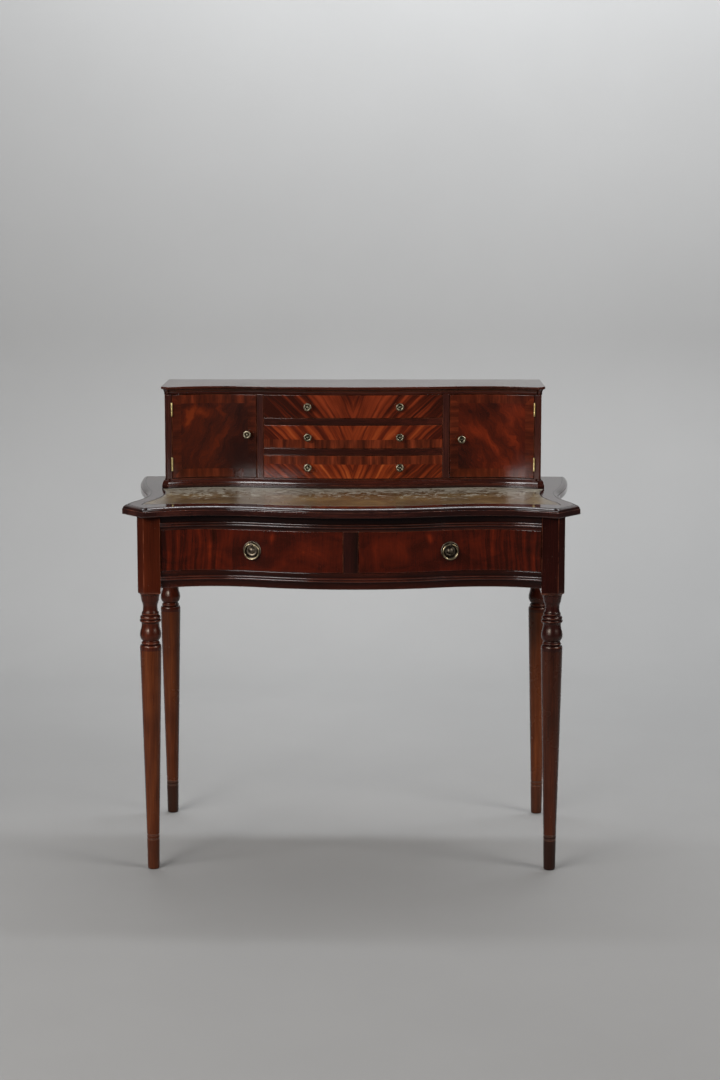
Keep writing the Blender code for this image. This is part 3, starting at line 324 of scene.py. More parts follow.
def topSideX(y):
    # right-hand edge: full width at the back, a hollow, and a crest near the front
    p = deskPlan
    back = p["halfWidth"] - serpentine(p["backY"] - y, p["backY"] - p["sideHollowY"],
                                       p["sideHollow"], p["sideRadius"], p["sideRadius"])
    front = p["halfWidth"] - p["frontCrestInset"] - serpentine(
        y - p["frontCrestY"], p["sideHollowY"] - p["frontCrestY"],
        p["sideHollow"] - p["frontCrestInset"], p["sideRadius"], p["sideRadius"])
    return np.where(y > p["sideHollowY"], back, front)


def joinLines(*lines):
    # lines that follow one another; the first point of each later line repeats the last one
    return np.concatenate([lines[0]] + [line[1:] for line in lines[1:]])


def flip(line):
    return line[::-1] * np.array([-1.0, 1.0])


def topLine():
    # half the edge of the top, from the middle of its front round to the back, and its mirror
    p = deskPlan
    near = 0.0010
    x = np.append(np.linspace(0, p["cornerX"] - near, 91), p["cornerX"])
    cantY = p["frontY"] + p["cantDepth"]
    y = np.append(cantY, np.linspace(cantY + near, p["backY"], 91))
    share = np.concatenate([[0], np.linspace(0.013, 0.987, 9), [1]])[:, None]
    corner = np.array([[p["cornerX"], topFrontY(p["cornerX"])]])
    side = np.array([[topSideX(cantY), cantY]])
    half = joinLines(np.stack([x, topFrontY(x)], 1), corner * (1 - share) + side * share,
                     np.stack([topSideX(y), y], 1))
    return joinLines(flip(half), half)


def galleryLine():
    p = galleryPlan
    cornerX = p["halfWidth"] - p["cant"]
    x = np.append(np.linspace(0, cornerX - 0.0010, 91), cornerX)
    cantY = galleryFrontY(cornerX) + p["cant"]
    share = np.concatenate([[0], np.linspace(0.05, 0.95, 5), [1]])[:, None]
    cant = (np.array([[cornerX, galleryFrontY(cornerX)]]) * (1 - share)
            + np.array([[p["halfWidth"], cantY]]) * share)
    y = np.append(cantY, np.linspace(cantY + 0.0010, p["backY"], 9))
    half = joinLines(np.stack([x, galleryFrontY(x)], 1), cant,
                     np.stack([np.full_like(y, p["halfWidth"]), y], 1))
    return joinLines(flip(half), half)


def insetLine(line, inset):
    # Each point moves along the mean of the normals beside it, by the inset over the cosine
    # of half the turn there. The two ends stay on the line of the back.
    step = np.diff(line, axis=0)
    step /= np.linalg.norm(step, axis=1, keepdims=True)
    normal = np.stack([-step[:, 1], step[:, 0]], 1)
    before = np.concatenate([normal[:1], normal])
    after = np.concatenate([normal, normal[-1:]])
    both = before + after
    move = both / (1 + (before * after).sum(1, keepdims=True))
    moved = line + inset * move
    moved[0, 1], moved[-1, 1] = line[0, 1], line[-1, 1]
    return moved


def stackLine(line, profile, capLow=True, capHigh=True):
    # Rows of the edge line, one for each pair of inset and height, closed across the back.
    rows = np.stack([np.column_stack([insetLine(line, inset), np.full(len(line), height)])
                     for inset, height in profile])
    k, n = rows.shape[:2]
    index = np.arange(k * n).reshape(k, n)
    faces = [gridFaces(k, n), np.concatenate([index[:, 0], index[::-1, -1]])]
    if capLow:
        faces.append(index[0])
    if capHigh:
        faces.append(index[-1])
    return rows, faces


def quarterRound(width, height, steps=10, degrees=90.0):
    # bulging curve that starts upright and turns inwards, level at its end where it turns 90
    turn = np.linspace(0, math.radians(degrees), steps + 1)
    return np.stack([width * (1 - np.cos(turn)) / (1 - np.cos(turn[-1])),
                     height * np.sin(turn) / np.sin(turn[-1])], 1)


# Colours below are as seen on screen, 0 to 255. Every solid wood has a deep, a middle and a light
# shade, the direction of its grain and the roughness of its polish.
timber = {
    "top wood": ((28, 11, 8), (42, 18, 14), (62, 30, 23), "x", 0.10),
    "cornice wood": ((38, 12, 6), (57, 23, 14), (74, 33, 21), "x", 0.10),
    "rail wood": ((31, 10, 5), (47, 17, 9), (66, 26, 16), "x", 0.15),
    "side wood": ((32, 11, 8), (50, 18, 12), (70, 28, 18), "y", 0.17),
    "stile wood": ((24, 8, 4), (40, 13, 8), (52, 20, 13), "z", 0.16),
    "case wood": ((36, 14, 10), (54, 24, 18), (74, 36, 26), "z", 0.15),
    "back wood": ((34, 13, 9), (52, 22, 15), (72, 34, 22), "x", 0.34),
}
# rubbed arrises turn paler, which is wear and also a painted highlight; hollows turn darker, which is grime
# and also painted shade
wearSheenAndShade = {"colour": (150, 84, 58), "strength": 0.6, "grimeAndShade": (12, 6, 5)}
# A leg's zones from the top down: the height where each starts, its three shades, its gloss.
legLook = {
    "block": (1.0, ((48, 14, 5), (66, 23, 9), (84, 31, 14)), 0.15),
    "head": (0.5632, ((38, 12, 6), (58, 20, 10), (88, 35, 18)), 0.25),
    "shaft": (0.4480, ((48, 17, 5), (80, 34, 11), (110, 54, 22)), 0.25),
    "foot": (0.0724, ((44, 18, 7), (72, 31, 13), (98, 50, 26)), 0.32),
    "rightShade": (204, 200, 250), "rightBlock": (192, 202, 230), "stain": (176, 182, 196),
    "dustAndSheen": (98, 84, 74), "shineLevel": 0.35, "shineTint": (1.0, 0.86, 0.72, 1.0),
}


def lengthwise(along, little, much):
    # a stretch that is small along the grain and large across it
    return tuple(little if axis == along else much for axis in "xyz")


def polish(tree, shader, place, colour, height, gloss):
    # clear polish over the wood, dulled in patches, with the arrises rubbed paler here and there, as wear and
    # a painted highlight, and hollows darkened as grime and painted shade
    wornAndSheen = addNode(tree, "ShaderNodeAttribute", attribute_name="wearAndSheen").outputs["Fac"]
    rubbedAndSheen = calc(tree, "MULTIPLY_ADD", noise(tree, place, 46.0, detail=3.0), 3.0, -1.1, clamp=True)
    amount = calc(tree, "MULTIPLY", calc(tree, "MULTIPLY", wornAndSheen, wearSheenAndShade["strength"]), rubbedAndSheen)
    colour = mixColour(tree, amount, colour, linear(*wearSheenAndShade["colour"]))
    # darker in creases and hollows: painted shade, with some grime
    grimeAndShade = addNode(tree, "ShaderNodeAttribute", attribute_name="grimeAndShade").outputs["Fac"]
    colour = mixColour(tree, calc(tree, "MULTIPLY", grimeAndShade, 0.8), colour, linear(*wearSheenAndShade["grimeAndShade"]))
    tree.links.new(colour, shader.inputs["Base Color"])
    smear = noise(tree, place, 9.0, detail=4.0)
    dulled = calc(tree, "MULTIPLY_ADD", smear, 0.16, -0.07)
    tree.links.new(calc(tree, "ADD", dulled, gloss), shader.inputs["Roughness"])
    bump(tree, shader, height, 0.00004)


def polishedWood(name):
    # straight-grained mahogany: long streaks, short dark pores and slow changes of shade
    deep, mid, light, along, gloss = timber[name]
    material, tree, shader, place = newMaterial(name)
    broad = noise(tree, place, 1.0, lengthwise(along, 1.5, 30), detail=5.0, rough=0.6, warp=0.5)
    fine = noise(tree, place, 1.0, lengthwise(along, 12, 420), (3.1, 1.7, 0.4), detail=3.0)
    pores = noise(tree, place, 1.0, lengthwise(along, 45, 900), (0.7, 0.2, 1.1), detail=1.0)
    patch = noise(tree, place, 4.0, shift=(0.3, 0.9, 2.2), detail=2.0)
    figure = calc(tree, "MULTIPLY_ADD", fine, 0.45, calc(tree, "MULTIPLY", broad, 0.75))
    figure = calc(tree, "ADD", figure, calc(tree, "MULTIPLY_ADD", patch, 0.4, -0.3))
    colour = ramp(tree, figure, [(0.32, linear(*deep)), (0.50, linear(*mid)), (0.70, linear(*light))])
    dark = ramp(tree, pores, [(0.30, level(0.55)), (0.40, level(1.0))])
    colour = mixColour(tree, 1.0, colour, dark, "MULTIPLY")
    polish(tree, shader, place, colour, fine, gloss)
    return material


def legWood():
    # one upright grain, in shades that change from the block to the turned head, shaft and foot
    p = legLook
    material, tree, shader, place = newMaterial("leg wood")
    x, y, z = separate(tree, place)
    broad = noise(tree, place, 1.0, (36, 36, 2.2), detail=4.0, rough=0.55, warp=0.5)
    fine = noise(tree, place, 1.0, (420, 420, 14), (3.1, 1.7, 0.4), detail=3.0)
    patch = noise(tree, place, 9.0, (1, 1, 0.7), (0.3, 0.9, 2.2), detail=3.0)
    figure = calc(tree, "MULTIPLY_ADD", fine, 0.30, calc(tree, "MULTIPLY", broad, 0.62))
    figure = calc(tree, "ADD", figure, calc(tree, "MULTIPLY_ADD", patch, 0.44, -0.18))
    colour, gloss = None, None
    for zone in ("block", "head", "shaft", "foot"):
        start, zoneShades, zoneGloss = p[zone]
        zoneColour = shades(tree, figure, zoneShades, 0.32, 0.72)
        if colour is None:
            colour, gloss = zoneColour, zoneGloss
            continue
        isBelow = calc(tree, "LESS_THAN", z, start)
        colour = mixColour(tree, isBelow, colour, zoneColour)
        gloss = calc(tree, "MULTIPLY_ADD", isBelow, calc(tree, "SUBTRACT", zoneGloss, gloss), gloss)
    # the right front leg is darker, and its foot and the left rear foot are stained
    isRight = calc(tree, "MULTIPLY", calc(tree, "GREATER_THAN", x, 0.0), calc(tree, "LESS_THAN", y, 0.0))
    colour = mixColour(tree, isRight, colour, linear(*p["rightShade"]), "MULTIPLY")
    isBlock = calc(tree, "MULTIPLY", isRight, calc(tree, "GREATER_THAN", z, p["head"][0]))
    colour = mixColour(tree, isBlock, colour, linear(*p["rightBlock"]), "MULTIPLY")
    isStained = calc(tree, "MULTIPLY", calc(tree, "LESS_THAN", calc(tree, "MULTIPLY", x, y), 0.0),
                     calc(tree, "LESS_THAN", z, p["foot"][0]))
    colour = mixColour(tree, isStained, colour, linear(*p["stain"]), "MULTIPLY")
    # specks of dust, and pale dust on the lips of the foot's two grooves, which also paints a highlight there
    specks = ramp(tree, noise(tree, place, 330.0, (1, 1, 0.6), detail=2.0),
                  [(0.70, level(0.0)), (0.78, level(0.5))])
    colour = mixColour(tree, specks, colour, linear(*p["dustAndSheen"]))
    lips = addNode(tree, "ShaderNodeAttribute", attribute_name="wearAndSheen").outputs["Fac"]
    onFoot = calc(tree, "MULTIPLY", lips, calc(tree, "LESS_THAN", z, 0.09))
    colour = mixColour(tree, calc(tree, "MULTIPLY", onFoot, 0.45), colour, linear(*p["dustAndSheen"]))
    polish(tree, shader, place, colour, fine, gloss)
    shader.inputs["Specular IOR Level"].default_value = p["shineLevel"]
    shader.inputs["Specular Tint"].default_value = p["shineTint"]
    return material


def plainWood(name, along):
    # pale unpolished wood for linings and runners
    material, tree, shader, place = newMaterial(name)
    figure = noise(tree, place, 1.6, lengthwise(along, 1, 22), detail=6.0, rough=0.65, warp=0.8)
    pores = noise(tree, place, 4.0, lengthwise(along, 5, 110), detail=2.0)
    mixed = calc(tree, "MULTIPLY_ADD", pores, 0.3, calc(tree, "MULTIPLY", figure, 0.75))
    shades = lining["shades"]
    tree.links.new(ramp(tree, mixed, [(0.3, linear(*shades[0])), (0.7, linear(*shades[1]))]),
                   shader.inputs["Base Color"])
    shader.inputs["Roughness"].default_value = lining["roughness"]
    bump(tree, shader, pores, 0.00008)
    return material


lining = {"shades": ((92, 60, 34), (156, 112, 68)), "roughness": 0.55}
# bright and dark shade, roughness, and how large the dark patches are
metal = {
    "bright brass": ((184, 170, 138), (112, 96, 70), 0.28, 60.0),
    "hinge brass": ((236, 216, 152), (188, 160, 102), 0.36, 60.0),
    "dull brass": ((126, 114, 98), (44, 37, 31), 0.40, 110.0),
    "knob brass": ((150, 140, 118), (58, 50, 38), 0.36, 150.0),
}


def brassFinish(name):
    # metal with darker tarnish in patches
    bright, dark, gloss, patchScale = metal[name]
    material, tree, shader, place = newMaterial(name)
    patches = noise(tree, place, patchScale, detail=5.0, rough=0.6)
    colour = ramp(tree, patches, [(0.34, linear(*dark)), (0.62, linear(*bright))])
    # darker where the piece marks its hollows: painted shade
    grimeAndShade = addNode(tree, "ShaderNodeAttribute", attribute_name="grimeAndShade").outputs["Fac"]
    colour = mixColour(tree, grimeAndShade, colour, linear(*dark), "MULTIPLY")
    tree.links.new(colour, shader.inputs["Base Color"])
    shader.inputs["Metallic"].default_value = 1.0
    scratches = noise(tree, place, 220.0, detail=3.0)
    tree.links.new(calc(tree, "MULTIPLY_ADD", scratches, 0.22, gloss - 0.08), shader.inputs["Roughness"])
    bump(tree, shader, patches, 0.00012)
    return material


def separate(tree, place):
    node = addNode(tree, "ShaderNodeSeparateXYZ", {"Vector": place})
    return node.outputs[0], node.outputs[1], node.outputs[2]


def together(tree, x, y, z):
    return addNode(tree, "ShaderNodeCombineXYZ", {"X": x, "Y": y, "Z": z}).outputs[0]


def spot(tree, flat, centre, size, turn=0.0):
    # 1 in the middle of a turned ellipse on a face and 0 at its edge, eased at both ends
    local = addNode(tree, "ShaderNodeMapping", {
        "Vector": flat, "Location": (*centre, 0), "Rotation": (0, 0, math.radians(turn)),
        "Scale": (*size, 1)}, vector_type="TEXTURE").outputs[0]
    away = addNode(tree, "ShaderNodeVectorMath", {0: local}, operation="LENGTH").outputs["Value"]
    return addNode(tree, "ShaderNodeMapRange", {
        "Value": away, "From Min": 1.0, "From Max": 0.0}, interpolation_type="SMOOTHERSTEP").outputs[0]


veneer = {
    "drawer": ((36, 9, 2), (54, 14, 5), (78, 22, 7), (114, 36, 12)),
    "top": ((46, 14, 5), (68, 22, 8), (98, 35, 14), (124, 48, 22)),
    "middle": ((58, 18, 7), (84, 28, 11), (120, 46, 18), (142, 62, 27)),
    "bottom": ((60, 19, 7), (88, 30, 11), (122, 47, 18), (152, 72, 31)),
    "left door": ((36, 14, 9), (56, 21, 11), (80, 28, 11), (106, 40, 15)),
    "right door": ((38, 13, 7), (72, 23, 9), (106, 35, 13), (130, 49, 18)),
    "band": ((56, 20, 8), (90, 35, 16), (128, 53, 27)),
    "gloss": 0.12, "bandWidth": 0.0178, "endBand": 0.7, "sideBand": {"left": 0.4, "right": 0.7},
}


def shades(tree, figure, colours, first=0.25, last=0.75):
    # the colours set at even steps along the figure
    places = np.linspace(first, last, len(colours)).tolist()
    return ramp(tree, figure, [(at, linear(*colour)) for at, colour in zip(places, colours)])


def drawerVeneer():
    # plain and mottled towards the stile, striped upright towards the ends, alike on both drawers
    material, tree, shader, place = newMaterial("drawer veneer")
    x, y, z = separate(tree, place)
    side = calc(tree, "ABSOLUTE", x)
    folded = together(tree, side, z, 0.0)
    sway = noise(tree, folded, 7.0, (1, 0.6, 1), detail=2.0)
    leaning = together(tree, calc(tree, "MULTIPLY_ADD", sway, 0.04, side), z, 0.0)
    stripes = noise(tree, leaning, 1.0, (118, 5, 1), detail=3.0, rough=0.55)
    fine = noise(tree, leaning, 1.0, (520, 26, 1), (2, 0, 1), detail=2.0)
    mottle = noise(tree, place, 16.0, (1.0, 1, 1.7), (0.4, 0, 0.1), detail=5.0, rough=0.6, warp=0.7)
    # how far towards the outer end of the drawer
    outward = calc(tree, "DIVIDE", calc(tree, "SUBTRACT", side, 0.19), 0.08, clamp=True)
    stripes = calc(tree, "MULTIPLY", calc(tree, "SUBTRACT", stripes, 0.5),
                   calc(tree, "MULTIPLY_ADD", outward, 0.80, 0.10))
    figure = calc(tree, "MULTIPLY_ADD", mottle, 0.55, calc(tree, "ADD", stripes, 0.17))
    figure = calc(tree, "MULTIPLY_ADD", fine, 0.20, calc(tree, "SUBTRACT", figure, 0.10))
    for centre, size, turn, strength in (
            ((0.105, 0.650), (0.060, 0.050), 0, 0.09), ((0.250, 0.642), (0.040, 0.060), 0, -0.05),
            ((0.176, 0.673), (0.011, 0.020), 25, 0.22), ((0.190, 0.626), (0.050, 0.020), 10, -0.08)):
        figure = calc(tree, "MULTIPLY_ADD", spot(tree, leaning, centre, size, turn), strength, figure)
    polish(tree, shader, place, shades(tree, figure, veneer["drawer"]), fine, veneer["gloss"])
    return material


def crossband(tree, along, across):
    # short grain that runs across a band, with soft paler bars
    lines = noise(tree, together(tree, calc(tree, "MULTIPLY", along, 420.0),
                                 calc(tree, "MULTIPLY", across, 30.0), 0.0), 1.0, detail=2.0)
    bars = noise(tree, together(tree, calc(tree, "MULTIPLY", along, 75.0),
                                calc(tree, "MULTIPLY", across, 9.0), 0.0), 1.0, detail=2.0)
    mixed = calc(tree, "MULTIPLY_ADD", bars, 0.85, calc(tree, "MULTIPLY_ADD", lines, 0.25, -0.05))
    return shades(tree, mixed, veneer["band"], 0.36, 0.72)


def smallDrawerVeneer(label):
    # flames that lean outwards from the middle, redder and darker towards the ends
    material, tree, shader, place = newMaterial("small drawer veneer " + label)
    low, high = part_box("small_drawer_front_" + label)
    x, y, z = separate(tree, place)
    up = calc(tree, "SUBTRACT", z, low.z)
    wander = noise(tree, place, 13.0, (1, 0, 1.2), (low.z * 9, 0, 0), detail=2.0)
    side = calc(tree, "ABSOLUTE", calc(tree, "MULTIPLY_ADD", wander, 0.016, calc(tree, "SUBTRACT", x, 0.008)))
    # Straight lines whose lean grows with the place where they leave the lower edge. That place
    # is the side less the height times the lean, and three rounds find it.
    across = side
    for _ in range(3):
        lean = calc(tree, "MULTIPLY_ADD", calc(tree, "MINIMUM", across, 0.11), 7.0, 0.36)
        across = calc(tree, "SUBTRACT", side, calc(tree, "MULTIPLY", up, lean))
    flames = noise(tree, together(tree, calc(tree, "MULTIPLY", across, 78.0),
                                  calc(tree, "MULTIPLY", up, 6.0), low.z * 50), 1.0, detail=2.0,
                   rough=0.5)
    lines = noise(tree, together(tree, calc(tree, "MULTIPLY", across, 250.0),
                                 calc(tree, "MULTIPLY", up, 14.0), low.z * 30), 1.0, detail=2.0)
    fine = noise(tree, together(tree, calc(tree, "MULTIPLY", across, 620.0),
                                calc(tree, "MULTIPLY", up, 60.0), 0.0), 1.0, detail=2.0)
    clouds = noise(tree, place, 11.0, (1, 0, 1), (low.z * 30, 0, 0), detail=2.0)
    outer = calc(tree, "DIVIDE", side, 0.18)
    figure = calc(tree, "MULTIPLY_ADD", flames, 1.05, calc(tree, "MULTIPLY_ADD", clouds, 0.35, -0.33))
    figure = calc(tree, "MULTIPLY_ADD", lines, 0.44, figure)
    figure = calc(tree, "MULTIPLY_ADD", calc(tree, "MULTIPLY", outer, outer), -0.20, figure)
    figure = calc(tree, "MULTIPLY_ADD", fine, 0.10, calc(tree, "SUBTRACT", figure, 0.03))
    if label == "top":
        # a dull, dark end on the left
        figure = calc(tree, "SUBTRACT", figure, calc(tree, "MULTIPLY", calc(
            tree, "DIVIDE", calc(tree, "SUBTRACT", -0.075, x), 0.05, clamp=True), 0.13))
    colour = shades(tree, figure, veneer[label], 0.33, 0.76)
    if label != "top":
        edgeZ = low.z + veneer["bandWidth"] if label == "middle" else high.z - veneer["bandWidth"]
        inBand = calc(tree, "LESS_THAN" if label == "middle" else "GREATER_THAN", z, edgeZ)
        colour = mixColour(tree, inBand, colour, crossband(tree, x, z))
    polish(tree, shader, place, colour, fine, veneer["gloss"])
    return material


# Paler and darker places on each door, as a share of its width and height from its lower left:
# centre, size, turn in degrees and strength.
doorFigure = {
    "left": (
        ((0.19, 0.76), (0.08, 0.26), -14, 0.26), ((0.36, 0.82), (0.22, 0.12), -8, 0.22),
        ((0.24, 0.70), (0.26, 0.34), 0, 0.12), ((0.58, 0.80), (0.05, 0.16), 24, 0.16),
        ((0.56, 0.48), (0.12, 0.46), -36, 0.14), ((0.92, 0.20), (0.56, 0.56), 0, -0.20),
        ((0.84, 0.72), (0.30, 0.30), 0, -0.13), ((0.16, 0.38), (0.20, 0.26), 0, 0.05),
        ((0.34, 0.22), (0.24, 0.18), 30, 0.06)),
    "right": (
        ((0.40, 0.84), (0.30, 0.22), 10, -0.13), ((0.30, 0.56), (0.20, 0.22), -30, 0.12),
        ((0.48, 0.44), (0.09, 0.42), 38, 0.13), ((0.68, 0.52), (0.08, 0.40), 36, 0.12),
        ((0.80, 0.76), (0.28, 0.26), 0, 0.16), ((0.10, 0.24), (0.36, 0.44), 0, -0.13),
        ((0.66, 0.16), (0.24, 0.14), 20, 0.10), ((0.12, 0.62), (0.12, 0.16), 0, 0.05)),
}


def doorVeneer(label):
    # a flame with soft paler and darker places, inside a crossband with mitred corners
    material, tree, shader, place = newMaterial("door veneer " + label)
    low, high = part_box("door_" + label)
    x, y, z = separate(tree, place)
    u = calc(tree, "DIVIDE", calc(tree, "SUBTRACT", x, low.x), high.x - low.x)
    w = calc(tree, "DIVIDE", calc(tree, "SUBTRACT", z, low.z), high.z - low.z)
    flat = together(tree, u, w, 0.0)
    bent = addNode(tree, "ShaderNodeTexNoise", {"Vector": flat, "Scale": 3.4, "Detail": 4.0,
                                                "Roughness": 0.6}).outputs["Color"]
    bent = addNode(tree, "ShaderNodeVectorMath", {0: bent, 1: (0.30, 0.30, 0.0), 2: flat},
                   operation="MULTIPLY_ADD").outputs[0]
    bent = addNode(tree, "ShaderNodeVectorMath", {0: bent, 1: (0.15, 0.15, 0.0)},
                   operation="SUBTRACT").outputs[0]
    # fibres lean towards the middle of the desk on their way up
    lean = 28 if label == "left" else -28
    turned = addNode(tree, "ShaderNodeMapping", {
        "Vector": bent, "Rotation": (0, 0, math.radians(lean)), "Scale": (1, 1, 1)}).outputs[0]
    fibres = noise(tree, turned, 1.0, (13, 2.2, 1), detail=5.0, rough=0.6)
    fine = noise(tree, turned, 1.0, (70, 7, 1), detail=3.0)
    figure = calc(tree, "MULTIPLY_ADD", fibres, 0.46, calc(tree, "MULTIPLY_ADD", fine, 0.26, -0.02))
    tone = None
    for centre, size, turn, strength in doorFigure[label]:
        place3 = spot(tree, bent, centre, size, turn)
        tone = calc(tree, "MULTIPLY_ADD", place3, strength, 0.0 if tone is None else tone)
    figure = calc(tree, "ADD", figure, tone)
    colour = shades(tree, figure, veneer[label + " door"], 0.18, 0.70)
    inner, outer = min(abs(low.x), abs(high.x)), max(abs(low.x), abs(high.x))
    side = calc(tree, "ABSOLUTE", x)
    fromSide = calc(tree, "MINIMUM", calc(tree, "SUBTRACT", side, inner),
                    calc(tree, "SUBTRACT", outer, side))
    fromEnd = calc(tree, "MINIMUM", calc(tree, "SUBTRACT", z, low.z), calc(tree, "SUBTRACT", high.z, z))
    atEnd = calc(tree, "LESS_THAN", fromEnd, fromSide)
    band = mixColour(tree, atEnd, crossband(tree, z, side), crossband(tree, x, z))
    # the band darkens and pales with the wood inside it
    shade = calc(tree, "MULTIPLY_ADD", tone, 3.0, 0.86, clamp=True)
    band = mixColour(tree, 1.0, band, together(tree, shade, shade, shade), "MULTIPLY")
    inBand = calc(tree, "LESS_THAN", calc(tree, "MINIMUM", fromSide, fromEnd), veneer["bandWidth"])
    sideBand = veneer["sideBand"][label]
    strength = calc(tree, "MULTIPLY_ADD", atEnd, veneer["endBand"] - sideBand, sideBand)
    colour = mixColour(tree, calc(tree, "MULTIPLY", inBand, strength), colour, band)
    polish(tree, shader, place, colour, fine, veneer["gloss"])
    return material


leatherLook = {
    "deep": (64, 48, 25), "mid": (84, 65, 37), "light": (110, 88, 52), "chalkAndSheen": (170, 165, 150),
    "lineAt": 0.0125, "lineWidth": 0.0010, "lineColour": (176, 162, 118), "edgeShadeWidth": 0.0016,
    "edgeShadeColour": (40, 28, 18), "gloss": 0.30,
}


def leatherFinish():
    # olive-brown hide, paler towards the back with chalky wear and a painted sheen, with a fine pebble and
    # one tooled line
    p = leatherLook
    material, tree, shader, place = newMaterial("writing leather")
    clouds = noise(tree, place, 13.0, (1, 0.9, 1), detail=6.0, rough=0.65)
    base = ramp(tree, clouds, [(0.30, linear(*p["deep"])), (0.50, linear(*p["mid"])),
                               (0.72, linear(*p["light"]))])
    rubs = noise(tree, place, 55.0, (1, 0.8, 1), (0.7, 0.2, 0), detail=6.0, rough=0.72, warp=0.8)
    # paler towards the back: chalky wear and a painted sheen
    backward = calc(tree, "MULTIPLY_ADD", separate(tree, place)[1], 1.25, 0.11)
    chalkAndSheen = ramp(tree, calc(tree, "ADD", rubs, backward), [(0.54, level(0.0)), (0.68, level(0.85))])
    colour = mixColour(tree, chalkAndSheen, base, linear(*p["chalkAndSheen"]))
    inset = addNode(tree, "ShaderNodeAttribute", attribute_name="inset").outputs["Fac"]
    offLine = calc(tree, "ABSOLUTE", calc(tree, "SUBTRACT", inset, p["lineAt"]))
    tooled = calc(tree, "SUBTRACT", 1.0, calc(tree, "DIVIDE", offLine, p["lineWidth"]), clamp=True)
    colour = mixColour(tree, calc(tree, "MULTIPLY", tooled, 0.5), colour, linear(*p["lineColour"]))
    # a dark strip round the leather's edge: the painted shadow of the gap there
    inEdgeShade = calc(tree, "LESS_THAN", inset, p["edgeShadeWidth"])
    colour = mixColour(tree, inEdgeShade, colour, linear(*p["edgeShadeColour"]))
    tree.links.new(colour, shader.inputs["Base Color"])
    pebble = addNode(tree, "ShaderNodeTexVoronoi", {"Vector": place, "Scale": 900.0},
                     feature="F1").outputs["Distance"]
    tree.links.new(calc(tree, "MULTIPLY_ADD", rubs, 0.20, p["gloss"] - 0.10), shader.inputs["Roughness"])
    height = calc(tree, "SUBTRACT", calc(tree, "MULTIPLY", pebble, 0.3), tooled)
    bump(tree, shader, height, 0.00015)
    return material


solid = {name: polishedWood(name) for name in timber}
liningAlong, liningDeep = plainWood("lining along", "x"), plainWood("lining deep", "y")
brasses = {name: brassFinish(name) for name in metal}
legFinish = legWood()
mainVeneer = drawerVeneer()
smallVeneers = {label: smallDrawerVeneer(label) for label in ("bottom", "middle", "top")}
doorVeneers = {label: doorVeneer(label) for label in ("left", "right")}
hide = leatherFinish()
print("writing desk: finishes ready")


# ---- top and leather

desktop = {
    "low": 0.719, "edgeHigh": 0.730, "fillet": 0.0015, "high": 0.737, "ledge": 0.0016,
    "ovoloWidth": 0.0074, "ovoloHeight": 0.0055, "ovoloTurn": 50.0, "arris": 0.0007,
}
leatherPlan = {
    "frontMargin": 0.043, "shoulderRadius": 0.600, "sideMargin": 0.038, "thickness": 0.0012,
    "gap": 0.0003, "rim": 0.0008, "shrink": 0.0008,
}


def leatherFrontY(x):
    p = deskPlan
    return p["frontY"] + leatherPlan["frontMargin"] + serpentine(
        x, p["hollowX"], p["bow"], p["hollowRadius"], leatherPlan["shoulderRadius"])


def leatherSides(grow):
    # four lines of the leather's outline, each from left to right or from front to back
    margin = leatherPlan["sideMargin"] - grow
    cornerX = deskPlan["cornerX"]
    for _ in range(20):
        cornerY = leatherFrontY(cornerX) - grow
        cornerX = topSideX(cornerY) - margin
    backX = galleryPlan["halfWidth"] - galleryPlan["cant"]
    backY = galleryFrontY(backX) + grow - leatherPlan["gap"]
    x = np.linspace(-cornerX, cornerX, 181)
    front = np.stack([x, leatherFrontY(x) - grow], 1)
    y = np.linspace(cornerY, backY, 61)
    right = np.stack([topSideX(y) - margin, y], 1)
    edgeX = right[-1, 0]
    x = np.linspace(-edgeX, edgeX, 181)
    back = np.stack([x, galleryFrontY(np.clip(x, -backX, backX)) + grow - leatherPlan["gap"]], 1)
    return front, right, back, right * np.array([-1.0, 1.0])


def outlineOf(sides):
    front, right, back, left = sides
    return np.concatenate([front[:-1], right[:-1], back[::-1][:-1], left[::-1][:-1]])


def cornerWearAndSheen(line, wornAndSheen, first, last):
    # marks the upright corners of an edge line too, for wear and a painted highlight, where it turns
    # by more than 20 degrees, from the profile's first to its last row
    step = np.diff(line, axis=0)
    heading = np.unwrap(np.arctan2(step[:, 1], step[:, 0]))
    sharp = np.concatenate([[False], np.abs(np.diff(heading)) > math.radians(20), [False]])
    both = np.tile(wornAndSheen[:, None], (1, len(line)))
    both[first:last, sharp] = 1.0
    return both.ravel()


